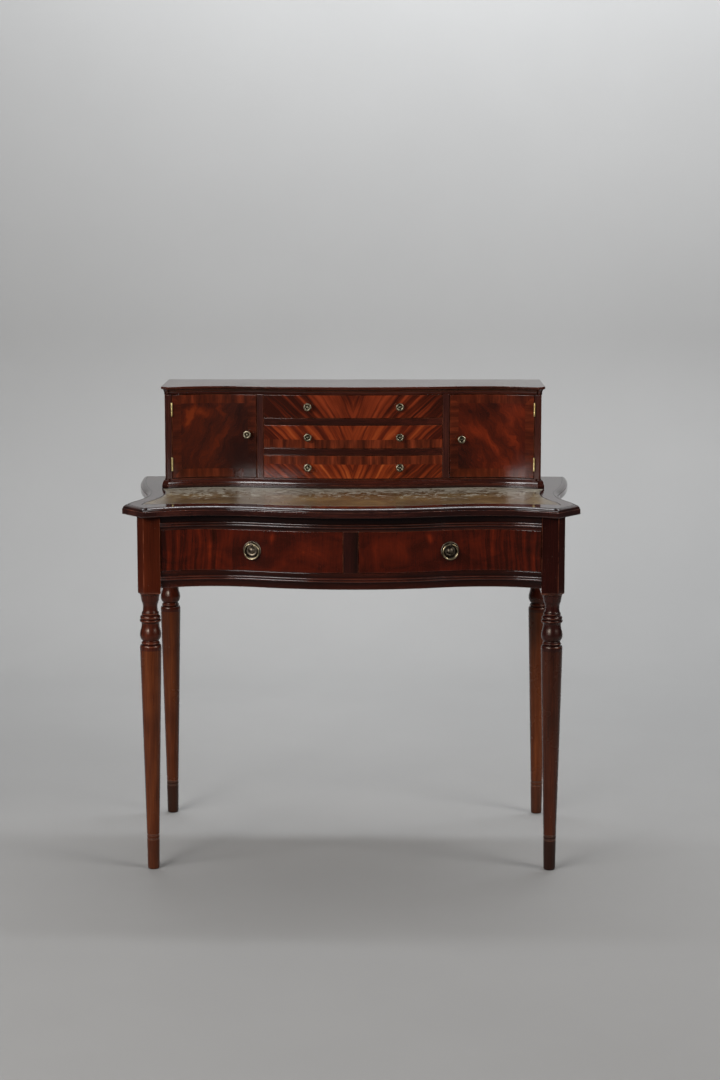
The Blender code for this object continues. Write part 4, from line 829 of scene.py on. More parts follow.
def buildTop():
    p = desktop
    line = topLine()
    turn = np.linspace(0, math.pi / 2, 4)
    a = p["arris"]
    low = np.stack([a * (1 - np.sin(turn)), p["low"] + a * (1 - np.cos(turn))], 1)
    edge = np.stack([a * (1 - np.cos(turn)), p["edgeHigh"] - a * (1 - np.sin(turn))], 1)
    ovolo = quarterRound(p["ovoloWidth"], p["ovoloHeight"], 12, p["ovoloTurn"]) + np.array(
        [p["ledge"], p["edgeHigh"] + p["fillet"]])
    inner = ovolo[-1, 0]
    profile = np.concatenate([
        low, [[0.0, p["low"] + 0.004], [0.0, p["edgeHigh"] - 0.002]], edge,
        [[p["ledge"], p["edgeHigh"]]], ovolo,
        [[inner + 0.0015, p["high"]], [inner + 0.0018, p["high"] - 0.0005],
         [inner + 0.0027, p["high"] - 0.0005], [inner + 0.0030, p["high"]],
         [inner + 0.0050, p["high"]]]])
    rows, faces = stackLine(line, profile, capHigh=False)
    # paler at the arrises: wear and a painted highlight
    wornAndSheen = np.zeros(len(profile))
    wornAndSheen[1:3] = 0.5
    wornAndSheen[7:9] = 1.0
    wornAndSheen[11] = 0.4
    wornAndSheen = cornerWearAndSheen(line, wornAndSheen, 6, 24)
    # darker at the ledge, along the ovolo and in the small groove inside its top: painted shade, with some
    # grime
    grimeAndShade = np.zeros(len(profile))
    grimeAndShade[[10, 11, 25, 26]] = [0.6, 1.0, 1.0, 1.0]
    grimeAndShade[12:23] = 0.3
    grimeAndShade = np.repeat(grimeAndShade, len(line))
    # the upper face has the leather's seat cut out of it
    rim = outlineOf(leatherSides(leatherPlan["gap"]))
    high = p["high"]
    floorZ = high - leatherPlan["thickness"] - leatherPlan["gap"]
    outer = [Vector((x, y, 0)) for x, y in rows[-1][:, :2].tolist()]
    inner = [Vector((x, y, 0)) for x, y in rim.tolist()]
    border = np.array([list(t) for t in tessellate_polygon([outer, inner])])
    borderPoints = np.concatenate([rows[-1], np.column_stack([rim, np.full(len(rim), high)])])
    wall = np.stack([np.column_stack([rim, np.full(len(rim), z)]) for z in (high, floorZ)])
    n = len(rim)
    rest = np.zeros(len(borderPoints) + 2 * n)
    mesh = buildMesh("desk_top.fine", [
        (rows, faces), (borderPoints, [border]),
        (wall, [gridFaces(2, n, closeColumns=True), np.arange(n) + n])],
        np.concatenate([wornAndSheen, rest]), grimeAndShade=np.concatenate([grimeAndShade, rest]))
    remake("desk_top", mesh, solid["top wood"])


def nearestEdge(points, outline):
    # distance from each point to the closest stretch of the outline
    start, end = outline, np.roll(outline, -1, axis=0)
    along = end - start
    length = (along ** 2).sum(1)
    share = ((points[:, None] - start[None]) * along[None]).sum(2) / length[None]
    foot = start[None] + np.clip(share, 0, 1)[..., None] * along[None]
    return np.sqrt(((points[:, None] - foot) ** 2).sum(2)).min(1)


def buildLeather():
    # The upper face blends its four edge lines: each pair is joined straight across, and the
    # surface through the four corners is taken away once.
    rim, shrink = leatherPlan["rim"], leatherPlan["shrink"]
    front, right, back, left = leatherSides(-rim - shrink)
    u = np.linspace(0, 1, len(front))[None, :, None]
    v = np.linspace(0, 1, len(right))[:, None, None]
    across = (1 - v) * front[None] + v * back[None]
    along = (1 - u) * left[:, None] + u * right[:, None]
    corners = ((1 - v) * ((1 - u) * front[0] + u * front[-1])
               + v * ((1 - u) * back[0] + u * back[-1]))
    flat = across + along - corners
    high = desktop["high"]
    rows, columns = flat.shape[:2]
    points = np.concatenate([flat, np.full((rows, columns, 1), high)], 2)
    # the rim goes down in a quarter circle to the straight side
    turn = np.linspace(0, math.pi / 2, 5)
    side = outlineOf(leatherSides(-shrink))
    n = len(side)
    drops = np.append(rim * (1 - np.cos(turn)), leatherPlan["thickness"])
    grows = np.append(rim * (np.sin(turn) - 1), 0.0) - shrink
    skirt = np.stack([np.column_stack([outlineOf(leatherSides(grow)), np.full(n, high - drop)])
                      for grow, drop in zip(grows, drops)])
    mesh = buildMesh("leather_inset.fine", [
        (points, [gridFaces(rows, columns)]),
        (skirt, [gridFaces(len(drops), n, closeColumns=True), np.arange(n) + n * (len(drops) - 1)])])
    place = np.zeros(len(mesh.vertices) * 3)
    mesh.vertices.foreach_get("co", place)
    inset = nearestEdge(place.reshape(-1, 3)[:, :2], side).astype(np.float32)
    layer = mesh.attributes.new("inset", "FLOAT", "POINT")
    layer.data.foreach_set("value", inset)
    remake("leather_inset", mesh, hide)


# ---- mouldings of the gallery

galleryMould = {
    "baseLow": 0.7373, "plinth": 0.0070, "ledge": 0.0010, "roundHeight": 0.0092,
    "fillet": 0.0028, "corniceLow": 0.9313, "bed": 0.0017, "coveHeight": 0.0100,
    "corniceFillet": 0.0050, "arris": 0.0006,
}


def buildGalleryMouldings():
    p = galleryMould
    line = galleryLine()
    a, ledge = p["arris"], p["ledge"]
    width = galleryPlan["mould"] - ledge
    turn = np.linspace(0, math.pi / 2, 4)
    top = p["baseLow"] + p["plinth"]
    edge = np.stack([a * (1 - np.cos(turn)), top - a * (1 - np.sin(turn))], 1)
    ovolo = quarterRound(width, p["roundHeight"]) + np.array([ledge, top])
    baseHigh = ovolo[-1, 1] + p["fillet"]
    profile = np.concatenate([[[0, p["baseLow"]], [0, top - 0.002]], edge, ovolo,
                              [[galleryPlan["mould"], baseHigh]]])
    # paler at the arrises: wear and a painted highlight; darker at the foot where it meets the top and in the
    # crease at the ledge: painted shade, with some grime
    wornAndSheen = np.zeros(len(profile))
    wornAndSheen[3:5] = 1.0
    wornAndSheen[-2] = 0.3
    grimeAndShade = np.zeros(len(profile))
    grimeAndShade[[0, 5, 6]] = [1.0, 0.8, 1.0]
    rows, faces = stackLine(line, profile)
    mesh = buildMesh("gallery_base.fine", [(rows, faces)], cornerWearAndSheen(line, wornAndSheen, 1, 12),
                     grimeAndShade=np.repeat(grimeAndShade, len(line)))
    remake("gallery_base", mesh, solid["rail wood"])

    low = p["corniceLow"]
    coveLow = low + p["bed"]
    turn = np.linspace(math.pi / 2, 0, 11)
    coveHigh = coveLow + p["coveHeight"]
    cove = np.stack([ledge + width * np.sin(turn), coveHigh - p["coveHeight"] * (1 - np.cos(turn))], 1)
    high = coveHigh + p["corniceFillet"]
    turn = np.linspace(0, math.pi / 2, 4)
    under = np.stack([a * (1 - np.sin(turn)), coveHigh + a * (1 - np.cos(turn))], 1)
    upper = np.stack([a * (1 - np.cos(turn)), high - a * (1 - np.sin(turn))], 1)
    profile = np.concatenate([[[galleryPlan["mould"], low]], cove, under, upper,
                              [[a + 0.0015, high]]])
    # paler at the arrises: wear and a painted highlight; darker where the cove meets the fillet: painted
    # shade, with some grime
    wornAndSheen = np.zeros(len(profile))
    wornAndSheen[13:15] = 0.7
    wornAndSheen[17:19] = 1.0
    grimeAndShade = np.zeros(len(profile))
    grimeAndShade[[11, 12]] = [0.6, 1.0]
    rows, faces = stackLine(line, profile)
    mesh = buildMesh("gallery_cornice.fine", [(rows, faces)], cornerWearAndSheen(line, wornAndSheen, 12, 20),
                     grimeAndShade=np.repeat(grimeAndShade, len(line)))
    remake("gallery_cornice", mesh, solid["cornice wood"])


# ---- rails with reeds

railShape = {
    "thickness": 0.022, "sideThickness": 0.018, "topLip": 0.0055, "bottomLip": 0.0090,
    "reed": 0.0048, "proud": 0.0020, "ease": 0.0005, "top": 0.7187, "openingHigh": 0.6892,
    "openingLow": 0.6062, "bottom": 0.574,
}


def reedSection(low, high, reedsLow, thickness):
    # Closed line of how far it stands out and its level: a flat back, and a face with two
    # reeds, each half an ellipse as high as the reed and twice as wide as it stands proud.
    p = railShape
    turn = np.linspace(-math.pi / 2, math.pi / 2, 13)
    reeds = [np.stack([p["proud"] * np.cos(turn), middle + p["reed"] / 2 * np.sin(turn)], 1)
             for middle in (reedsLow + p["reed"] / 2, reedsLow + p["reed"] * 1.5)]
    e = p["ease"]
    face = np.concatenate([[[-e, low], [-e * 0.3, low + e * 0.3], [0, low + e], [0, low + 3 * e]],
                           reeds[0], reeds[1][1:],
                           [[0, high - 3 * e], [0, high - e], [-e * 0.3, high - e * 0.3], [-e, high]],
                           [[-thickness, high], [-thickness, low]]])
    # the reeds' crests and the lower arris are marked paler, for wear and a painted highlight, and the
    # creases at the reeds' feet darker, for painted shade with some grime
    wornAndSheen, grimeAndShade = np.zeros((2, len(face)))
    wornAndSheen[[1, 4 + 6, 16 + 6]] = 0.6
    grimeAndShade[[4, 4 + 12, 16 + 12]] = 1.0
    return face, wornAndSheen, grimeAndShade


def carryAlong(section, path, outward):
    # every point of the section, moved outwards by its first value and set at its level
    moves = np.column_stack([section[:, :1] * np.asarray(outward, float), section[:, 1]])
    points = path[:, None, :] + moves[None, :, :]
    k, n = points.shape[:2]
    index = np.arange(k * n).reshape(k, n)
    return points, [gridFaces(k, n, closeColumns=True), index[0], index[-1]]


def buildRails():
    p = railShape
    reach = 0.37445
    x = np.linspace(-reach, reach, 181)
    path = np.column_stack([x, friezeY(x), np.zeros(len(x))])
    lowReeds = p["openingLow"] - p["bottomLip"] - 2 * p["reed"]
    for node, low, high, reedsLow in (
            ("top_rail_front", p["openingHigh"], p["top"], p["openingHigh"] + p["topLip"]),
            ("bottom_rail_front", p["bottom"], p["openingLow"], lowReeds)):
        section, wornAndSheen, grimeAndShade = reedSection(low, high, reedsLow, p["thickness"])
        points, faces = carryAlong(section, path, (0, -1))
        mesh = buildMesh(node + ".fine", [(points, faces)], np.tile(wornAndSheen, len(path)), 38,
                         np.tile(grimeAndShade, len(path)))
        remake(node, mesh, solid["rail wood"])
    for side, label in ((-1, "left"), (1, "right")):
        section, wornAndSheen, grimeAndShade = reedSection(p["bottom"], p["openingLow"], lowReeds,
                                          p["sideThickness"])
        section[section[:, 1] > 0.6, 1] += p["top"] - p["openingLow"]
        y = np.linspace(-0.18595, 0.20395, 9)
        path = np.column_stack([np.full(9, side * 0.41925), y, np.zeros(9)])
        points, faces = carryAlong(section, path, (side, 0))
        mesh = buildMesh("side_rail.fine", [(points, faces)], np.tile(wornAndSheen, 9), 38,
                         np.tile(grimeAndShade, 9))
        remake("side_rail_" + label, mesh, solid["side wood"])


# ---- boards with eased edges

boardShape = {"ease": 0.0007, "hold": 0.0012, "stations": 60}


def easedBoard(node, frontLine, depth, material, ease=None, stations=None, slant=(0, 0)):
    # A bar along x inside its node's box. Its section is a rectangle whose corners are quarter
    # circles, and at both ends it is drawn in by one more quarter circle. The face follows
    # frontLine and the back lies the depth behind it, or straight where depth is nothing. The
    # slant moves the back edge sideways at either end.
    low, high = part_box(node)
    ease = ease or boardShape["ease"]
    stations = stations or boardShape["stations"]
    hold = boardShape["hold"]
    turn = np.linspace(0, math.pi / 2, 5)
    # the rounded corners and ends are marked paler, for wear and a painted highlight
    rubAndSheen = np.sin(2 * turn)
    inner = np.linspace(low.x + ease + hold, high.x - ease - hold, stations)
    inner = np.concatenate([[low.x + ease], inner, [high.x - ease]])
    shift = ease * (1 - np.cos(turn[:-1]))
    x = np.concatenate([low.x + shift, inner, high.x - shift[::-1]])
    radius = np.concatenate([np.sin(turn[:-1]), np.ones(len(inner)), np.sin(turn[:-1])[::-1]]) * ease
    rubAndSheenEnds = np.concatenate([rubAndSheen[:-1], np.zeros(len(inner)), rubAndSheen[:-1][::-1]])
    c, s = np.cos(turn), np.sin(turn)
    # each corner's curve, then two points that hold the flat side after it
    outY = np.concatenate([-s, [-1, -1], -c, [0, 0], s, [1, 1], c, [0, 0]])
    outZ = np.concatenate([-c, [0, 0], s, [1, 1], c, [0, 0], -s, [-1, -1]])
    behind = np.repeat([0.0, 1.0, 0.0], [13, 14, 1])[None, :]
    upper, lower = high.z - ease, low.z + ease
    centreZ = np.repeat([lower, lower + hold, upper - hold, upper, upper - hold, lower + hold, lower],
                        [5, 1, 1, 12, 1, 1, 7])
    inward = np.zeros(28)
    inward[[12, 27]], inward[[13, 26]] = hold, -hold
    face = frontLine(x)[:, None] + ease
    back = (frontLine(x)[:, None] + depth if depth else np.full((len(x), 1), high.y)) - ease
    y = face * (1 - behind) + back * behind + inward[None, :] + radius[:, None] * outY[None, :]
    z = centreZ[None, :] + radius[:, None] * outZ[None, :]
    along = ((x - low.x) / (high.x - low.x))[:, None]
    sideways = behind * (slant[0] * (1 - along) + slant[1] * along)
    points = np.stack([x[:, None] + sideways, y, z], 2)
    k, n = points.shape[:2]
    index = np.arange(k * n).reshape(k, n)
    rubAndSheenSection = np.tile(np.concatenate([rubAndSheen, [0.0, 0.0]]), 4)
    wornAndSheen = np.maximum(rubAndSheenEnds[:, None], rubAndSheenSection[None, :])
    mesh = buildMesh(node + ".fine", [
        (points, [gridFaces(k, n, closeColumns=True), index[0], index[-1]])], wornAndSheen)
    return remake(node, mesh, material)


def buildBoards():
    for label in ("left", "right"):
        easedBoard("drawer_front_" + label, friezeY, 0.018, mainVeneer, stations=90)
        slant = (0.0026, 0) if label == "right" else (0, -0.0026)
        easedBoard("door_" + label, caseY, 0.015, doorVeneers[label], slant=slant)
        easedBoard("gallery_side_" + label, chamferedCaseY, 0, solid["case wood"], stations=25)
        easedBoard("gallery_divider_" + label, caseY, 0, solid["case wood"], stations=9)
    for label in ("bottom", "middle", "top"):
        easedBoard("small_drawer_front_" + label, caseY, 0.012, smallVeneers[label], stations=90)
    for label in ("lower", "upper"):
        easedBoard("gallery_rail_" + label, caseY, 0, solid["rail wood"], stations=90)
    easedBoard("centre_stile", friezeY, 0.022, solid["stile wood"], stations=9)
    easedBoard("back_rail", lambda x: np.full_like(x, 0.2185), 0.018, solid["back wood"], stations=3)


def chamferedCaseY(x):
    # the outer front corner of the gallery's side runs back at 45 degrees
    limit = 0.386
    return caseY(np.minimum(np.abs(x), limit)) + np.maximum(np.abs(x) - limit, 0)


def easeRest():
    for label in ("left", "right"):
        easedCopy("drawer_box_" + label, 0.0006, liningDeep)
        easedCopy("drawer_bottom_" + label, 0.0003, liningAlong)
        easedCopy("side_runner_" + label, 0.0005, liningDeep)
        for end in ("lower", "upper"):
            easedCopy(f"case_leaf_{label}_{end}", 0.00012, brasses["hinge brass"])
            easedCopy(f"door_leaf_{label}_{end}", 0.00012, brasses["hinge brass"])
    for label in ("bottom", "middle", "top"):
        easedCopy("small_drawer_box_" + label, 0.0005, liningDeep)
    easedCopy("centre_runner", 0.0005, liningDeep)
    easedCopy("centre_kicker", 0.0005, liningDeep)
    easedCopy("gallery_back", 0.0004, liningAlong)


# ---- turned pieces

legShape = {
    "x": 0.398, "frontY": -0.2095, "backY": 0.2275, "sides": 72,
    "block": 0.0465, "chamfer": 0.0135, "blockLow": 0.563, "blockHigh": 0.7187,
    "easeWidth": 0.0025, "easeHeight": 0.0040, "corner": 0.0011,
    # runs of height and radius, from the top down; each run is smooth and meets the next
    # at a sharp line
    "runs": (
        ((0.5730, 0.0150), (0.5632, 0.0195)),
        ((0.5632, 0.0195), (0.5624, 0.0206), (0.5611, 0.0205), (0.5600, 0.0190)),
        ((0.5598, 0.0189), (0.5574, 0.0188), (0.5545, 0.0183), (0.5515, 0.0178), (0.5478, 0.0173),
         (0.5454, 0.0165), (0.5413, 0.0150), (0.5370, 0.01437), (0.5304, 0.0145), (0.5262, 0.0152),
         (0.5247, 0.0160)),
        ((0.5247, 0.0160), (0.5239, 0.0170), (0.5215, 0.01730), (0.5196, 0.0168), (0.5188, 0.0160)),
        ((0.5188, 0.0165), (0.5172, 0.0192), (0.5140, 0.02035), (0.5113, 0.0195), (0.5104, 0.0186)),
        ((0.5104, 0.0192), (0.5096, 0.0207), (0.5077, 0.0212), (0.5058, 0.0206), (0.5046, 0.0190)),
        ((0.5043, 0.0186), (0.5010, 0.0176), (0.4940, 0.0183), (0.4867, 0.0201), (0.4804, 0.0211),
         (0.4747, 0.0205), (0.4698, 0.0184), (0.4677, 0.0163)),
        ((0.4677, 0.0160), (0.4664, 0.0161), (0.4652, 0.0170), (0.4630, 0.01845),
         (0.4607, 0.0179), (0.4595, 0.0166)),
        ((0.4592, 0.0166), (0.4588, 0.0192), (0.4574, 0.0205), (0.4543, 0.0213), (0.4480, 0.0212)),
        ((0.4480, 0.0212), (0.2600, 0.01705), (0.0745, 0.01275)),
        ((0.0745, 0.01275), (0.0735, 0.01274), (0.0724, 0.0127)),
        ((0.0724, 0.0127), (0.0718, 0.0119), (0.07125, 0.0116), (0.0707, 0.0119), (0.0701, 0.0127)),
        ((0.0701, 0.0127), (0.0670, 0.01275), (0.0639, 0.0127)),
        ((0.0639, 0.0127), (0.0633, 0.0119), (0.06275, 0.0116), (0.0622, 0.0119), (0.0616, 0.0127)),
        ((0.0616, 0.0127), (0.0606, 0.01268), (0.0596, 0.01266)),
        ((0.0596, 0.01266), (0.0300, 0.0122), (0.0032, 0.0118)),
        ((0.0032, 0.0118), (0.0017, 0.0114), (0.0006, 0.0104), (0.0001, 0.0092), (0.0, 0.0088))),
    # heights with a rubbed lip, paler for wear and a painted highlight, and with a hollow, darker for painted
    # shade
    "rubbedAndSheen": (0.5611, 0.5215, 0.5140, 0.5077, 0.4630, 0.4560, 0.0727, 0.0699, 0.0641, 0.0614),
    "hollow": (0.5598, 0.5247, 0.5188, 0.5104, 0.5043, 0.4677, 0.4594, 0.07125, 0.06275),
}


def smoothRun(run, steps=7):
    # Through each two neighbours goes a cubic whose slope at a point is half the step between
    # the points on its two sides.
    points = np.asarray(run, float)
    if len(points) < 3:
        return points
    slope = np.gradient(points, axis=0)
    t = np.linspace(0, 1, steps + 1)[:-1][None, :, None]
    p0, p1, m0, m1 = points[:-1, None], points[1:, None], slope[:-1, None], slope[1:, None]
    curve = ((2 * t ** 3 - 3 * t ** 2 + 1) * p0 + (t ** 3 - 2 * t ** 2 + t) * m0
             + (-2 * t ** 3 + 3 * t ** 2) * p1 + (t ** 3 - t ** 2) * m1)
    return np.concatenate([curve.reshape(-1, 2), points[-1:]])


def lathe(profile, sides):
    # each point of height and radius goes round in a ring; both ends close on a point
    turn = np.linspace(0, 2 * math.pi, sides, endpoint=False)
    height, radius = profile[:, :1], profile[:, 1:]
    rings = np.stack(np.broadcast_arrays(radius * np.cos(turn), radius * np.sin(turn), height), 2)
    k = len(profile)
    points = np.concatenate([rings.reshape(-1, 3), [[0, 0, profile[0, 0]], [0, 0, profile[-1, 0]]]])
    ring = np.arange(sides)
    after = (ring + 1) % sides
    first = np.stack([np.full(sides, k * sides), ring, after], 1)
    last = np.stack([np.full(sides, k * sides + 1), ring + (k - 1) * sides,
                     after + (k - 1) * sides], 1)
    return points, [gridFaces(k, sides, closeColumns=True), first, last]


def roundedOutline(corners, cut, steps=5):
    # Each corner becomes a curve between the points that lie the cut before and after it,
    # drawn towards the corner, with one more point on either side to hold the flats.
    before = np.roll(corners, 1, axis=0) - corners
    after = np.roll(corners, -1, axis=0) - corners
    before /= np.linalg.norm(before, axis=1, keepdims=True)
    after /= np.linalg.norm(after, axis=1, keepdims=True)
    s = np.linspace(0, 1, steps)[None, :, None]
    start, end = (corners + cut * before)[:, None], (corners + cut * after)[:, None]
    curve = (1 - s) ** 2 * start + 2 * s * (1 - s) * corners[:, None] + s ** 2 * end
    holdStart, holdEnd = corners + 2 * cut * before, corners + 2 * cut * after
    return np.concatenate([holdStart[:, None], curve, holdEnd[:, None]], 1).reshape(-1, 2)


def blockOutline(inset, side, isFront):
    p = legShape
    half = p["block"] / 2 - inset
    corners = [(-half, -half), (half, -half), (half, half), (-half, half)]
    if isFront:
        chamfer = p["chamfer"] - inset * (2 - math.sqrt(2))
        corners[1:2] = [(half - chamfer, -half), (half, chamfer - half)]
    outline = roundedOutline(np.array(corners), p["corner"])
    return outline * np.array([side, 1.0])


def buildLegs():
    p = legShape
    profile = np.concatenate([smoothRun(run) for run in p["runs"]])
    turned, turnedFaces = lathe(profile, p["sides"])
    # 1 at each marked height, fading to nothing within 0.9 mm: paler lips for wear and a painted highlight,
    # darker hollows for painted shade
    lips, hollows = [np.clip(1 - np.abs(turned[:, 2:] - np.array(p[kind])[None, :]) / 0.0009, 0, 1).max(1)
                     for kind in ("rubbedAndSheen", "hollow")]
    turn = np.linspace(0, math.pi / 2, 6)
    insets = np.concatenate([p["easeWidth"] * (1 - np.sin(turn)), [0.0, 0.0, 0.0006]])
    levels = np.concatenate([p["blockLow"] + p["easeHeight"] * (1 - np.cos(turn)),
                             [p["blockLow"] + 0.012, p["blockHigh"] - 0.0006, p["blockHigh"]]])
    for node, side, isFront in (("leg_front_left", -1, True), ("leg_front_right", 1, True),
                                ("leg_rear_left", -1, False), ("leg_rear_right", 1, False)):
        rows = np.stack([np.column_stack([blockOutline(i, side, isFront),
                                          np.full(35 if isFront else 28, z)])
                         for i, z in zip(insets, levels)])
        k, n = rows.shape[:2]
        index = np.arange(k * n).reshape(k, n)
        place = np.array([side * p["x"], p["frontY"] if isFront else p["backY"], 0])
        # the block's upright corners and lower edge are marked paler, for wear and a painted highlight
        wornAndSheen = np.tile(np.array([0, 0, 0.7, 1, 0.7, 0, 0]), n // 7)
        lowEdge = np.array([0.0, 0.3, 0.8, 0.8, 0.4, 0, 0, 0, 0])
        wornAndSheen = np.maximum(np.broadcast_to(wornAndSheen[None], (k, n)), lowEdge[:, None])
        mesh = buildMesh(node + ".fine", [
            (rows + place, [gridFaces(k, n, closeColumns=True), index[0], index[-1]]),
            (turned + place, turnedFaces)],
            np.concatenate([wornAndSheen.ravel(), lips]), 34,
            np.concatenate([np.zeros(wornAndSheen.size), hollows]))
        remake(node, mesh, legFinish)


# ---- brass pulls and knobs

pullShape = {
    "x": 0.195123, "y": -0.208209, "z": 0.6477, "across": (0.96895, 0.24725),
    "plate": (
        ((0.0065, 0.0001), (0.0065, 0.0012), (0.0062, 0.0026), (0.0053, 0.0047), (0.0036, 0.0064),
         (0.0025, 0.0075)),
        ((0.0025, 0.0075), (0.0029, 0.0088), (0.0029, 0.0099), (0.0026, 0.0107), (0.0017, 0.0114)),
        ((0.0017, 0.0114), (0.00145, 0.0128), (0.00145, 0.0144)),
        ((0.00145, 0.0144), (0.0021, 0.0152), (0.0026, 0.0166), (0.0024, 0.0178), (0.0013, 0.0185)),
        ((0.0013, 0.0185), (0.0, 0.0185))),
    "hollows": (0.0118, 0.0128, 0.0138),
    "postRadius": 0.0031, "postY": 0.01275, "postHigh": 0.00815, "eye": 0.00225, "eyeHigh": 0.0048,
    "ringRadius": 0.01490, "wire": 0.00160, "ringDrop": 0.0020, "ringHigh": 0.0048,
}
knobShape = {
    "smallX": {"left": -0.0925, "right": 0.0960}, "doorX": {"left": -0.2181, "right": 0.2237},
    "doorZ": {"left": 0.8473, "right": 0.8375}, "gap": 0.0003,
    "runs": (
        ((0.0150, 0.0001), (0.0150, 0.0016), (0.0147, 0.0022)),
        ((0.0147, 0.0022), (0.0139, 0.0029), (0.0138, 0.0040), (0.0142, 0.0049), (0.0148, 0.0056),
         (0.0149, 0.0065), (0.0145, 0.0076), (0.0136, 0.0083), (0.0127, 0.0085), (0.0116, 0.0083),
         (0.0105, 0.0076), (0.0090, 0.0060), (0.0076, 0.0043), (0.0062, 0.0034), (0.0040, 0.0031),
         (0.0026, 0.0034)),
        ((0.0026, 0.0036), (0.0021, 0.0046), (0.0013, 0.0050), (0.0004, 0.0051), (0.0, 0.0050))),
}


def onFace(points, place, across):
    # local x runs along the face, local y is up and local z stands out from it
    across = np.array([across[0], across[1], 0.0])
    out = np.array([across[1], -across[0], 0.0])
    return (np.asarray(place) + points[:, :1] * across + points[:, 1:2] * np.array([0, 0, 1.0])
            + points[:, 2:] * out)


def faceTurn(line, x):
    step = 0.001
    slope = math.atan2(float(line(x + step) - line(x - step)), 2 * step)
    return math.cos(slope), math.sin(slope)


def cutOut(mesh, toolMesh):
    # the first mesh less the second, worked out once
    piece = bpy.data.objects.new("cut", mesh)
    tool = bpy.data.objects.new("cutter", toolMesh)
    for item in (piece, tool):
        bpy.context.scene.collection.objects.link(item)
    cut = piece.modifiers.new("cut", "BOOLEAN")
    cut.operation, cut.solver, cut.object = "DIFFERENCE", "EXACT", tool
    result = bpy.data.meshes.new_from_object(piece.evaluated_get(
        bpy.context.evaluated_depsgraph_get()))
    for item in (piece, tool):
        bpy.data.objects.remove(item)
    result.shade_smooth()
    result.set_sharp_from_angle(angle=math.radians(34))
    return result


def buildPulls():
    p = pullShape
    profile = np.concatenate([smoothRun(run) for run in p["plate"]])
    plate, plateFaces = lathe(profile, 72)
    away = np.hypot(plate[:, 0], plate[:, 1])[:, None]
    # the plate's channels are painted darker as shade
    plateShade = np.clip(1 - np.abs(away - np.array(p["hollows"])) / 0.0016, 0, 1).max(1)
    dome = np.linspace(0, math.pi / 2, 6)
    post = np.concatenate([np.stack([p["postHigh"] - 0.0012 * (1 - np.cos(dome)),
                                     p["postRadius"] - 0.0014 * (1 - np.sin(dome))], 1),
                           [[0.0006, p["postRadius"]]]])
    postPoints, postFaces = lathe(post, 32)
    rod, rodFaces = lathe(np.array([[0.02, p["eye"]], [-0.02, p["eye"]]]), 32)
    rod = rod[:, [2, 1, 0]] + np.array([0, p["postY"], p["eyeHigh"]])
    big = np.linspace(0, 2 * math.pi, 96, endpoint=False)[:, None]
    small = np.linspace(0, 2 * math.pi, 20, endpoint=False)[None, :]
    reach = p["ringRadius"] + p["wire"] * np.cos(small)
    ring = np.stack([reach * np.cos(big), reach * np.sin(big) - p["ringDrop"],
                     p["ringHigh"] + p["wire"] * np.sin(small) * np.ones_like(big)], 2).reshape(-1, 3)
    for side, label in ((-1, "left"), (1, "right")):
        place = (side * p["x"], p["y"], p["z"])
        across = (p["across"][0], side * p["across"][1])
        mesh = buildMesh("plate", [(onFace(plate, place, across), plateFaces)], sharp=40,
                         grimeAndShade=plateShade)
        postMesh = buildMesh("post", [(onFace(postPoints + np.array([0, p["postY"], 0]), place,
                                              across), postFaces)])
        rodMesh = buildMesh("eye", [(onFace(rod, place, across), rodFaces)])
        postMesh = cutOut(postMesh, rodMesh)
        remake("pull_plate_" + label, mesh, brasses["dull brass"])
        addPiece(f"pull_post_{label}.fine", postMesh, "drawer_" + label,
                 ["pull_plate_" + label], brasses["dull brass"])
        mesh = buildMesh("ring", [(onFace(ring, place, across),
                                   [gridFaces(96, 20, closeRows=True, closeColumns=True)])])
        remake("pull_ring_" + label, mesh, brasses["bright brass"])


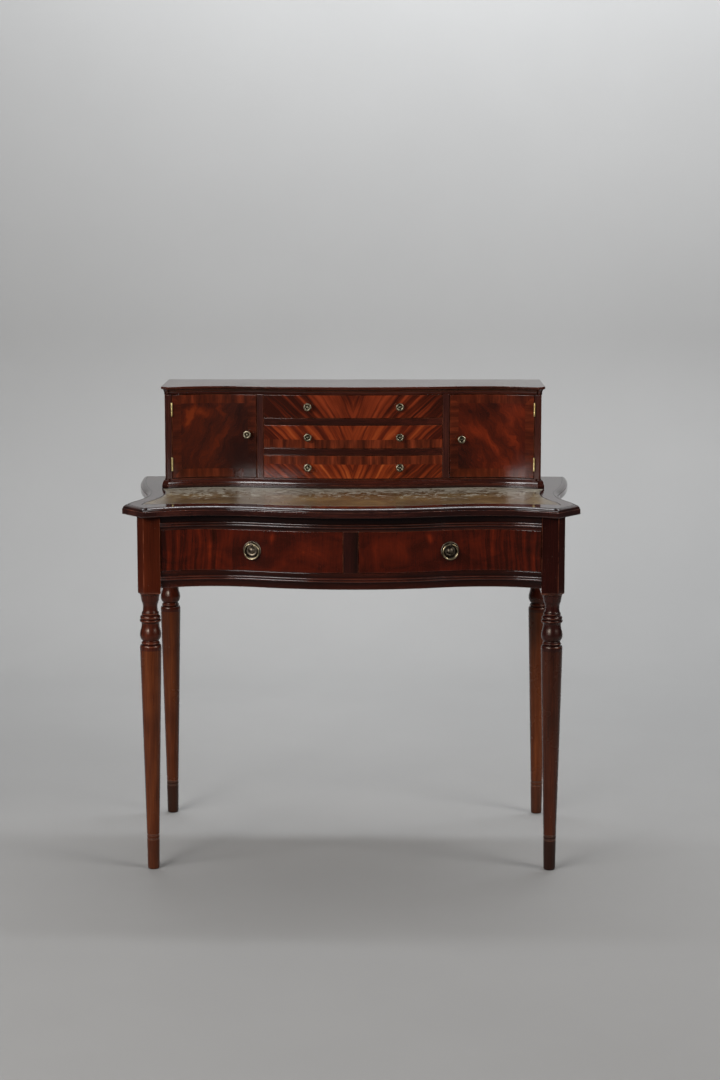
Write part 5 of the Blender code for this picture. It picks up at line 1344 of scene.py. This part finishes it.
def buildKnobs():
    p = knobShape
    profile = np.concatenate([smoothRun(run, 5) for run in p["runs"]])
    knob, faces = lathe(profile, 56)
    # darker in the ring round the middle of the face and on the neck under the head: painted shade, with some
    # grime
    away, out = np.hypot(knob[:, 0], knob[:, 1]), knob[:, 2]
    knobGrimeAndShade = np.where(out > 0.0125, np.clip(1.2 - np.abs(away - 0.0035) / 0.0014, 0, 1),
                        np.clip((0.0105 - out) / 0.004, 0, 0.8))
    places = []
    for label in ("bottom", "middle", "top"):
        low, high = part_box("small_drawer_front_" + label)
        for end in ("left", "right"):
            places.append((f"small_drawer_knob_{label}_{end}", p["smallX"][end],
                           (low.z + high.z) / 2))
    for label in ("left", "right"):
        places.append(("door_knob_" + label, p["doorX"][label], p["doorZ"][label]))
    for node, x, z in places:
        across = faceTurn(caseY, x)
        out = np.array([across[1], -across[0]])
        foot = np.array([x, float(caseY(x))]) + out * p["gap"]
        mesh = buildMesh("knob", [(onFace(knob, (*foot, z), across), faces)], sharp=40, grimeAndShade=knobGrimeAndShade)
        remake(node, mesh, brasses["knob brass"])

# ---- putting it together

placeCamera()
areaLight("left high softbox", (-2.55, -2.35, 2.5), (0, 0.3, 0.8), 2.2, 2.0, 78)
areaLight("left low softbox", (-2.1, -3.9, 2.15), (0, -0.1, 0.6), 1.5, 0.8, 84)
areaLight("right high softbox", (2.75, -1.95, 2.45), (0, 0.5, 0.8), 1.8, 1.8, 26)
areaLight("right low softbox", (3.2, -1.9, 2.4), (0, -0.1, 0.6), 1.3, 0.8, 50)
areaLight("overhead", (0.0, 0.9, 3.3), (0, 0.1, 0.5), 3.4, 2.0, 27)
areaLight("backdrop wash", (0.5, 1.2, 3.2), (0.6, 2.5, 1.8), 3.4, 0.6, 124, (0.90, 0.95, 1.0))
world = bpy.data.worlds.new("studio")
bpy.context.scene.world = world
world.use_nodes = True
world.node_tree.nodes["Background"].inputs["Color"].default_value = (0.93, 0.95, 1.0, 1.0)
rays = addNode(world.node_tree, "ShaderNodeLightPath").outputs
seen = calc(world.node_tree, "ADD", rays["Is Camera Ray"], rays["Is Glossy Ray"])
seen = calc(world.node_tree, "ADD", seen, rays["Is Transmission Ray"], clamp=True)
strength = calc(world.node_tree, "MULTIPLY_ADD", seen, view["worldSeen"], view["worldStrength"])
world.node_tree.links.new(strength, world.node_tree.nodes["Background"].inputs["Strength"])
bpy.context.scene.view_settings.view_transform = "Standard"
buildStage()
print("writing desk: stage ready")
buildTop()
buildLeather()
print("writing desk: top and leather")
buildGalleryMouldings()
buildRails()
print("writing desk: mouldings and rails")
buildBoards()
easeRest()
print("writing desk: boards, drawers and doors")
buildLegs()
buildPulls()
buildKnobs()
print("writing desk: legs, pulls and knobs")
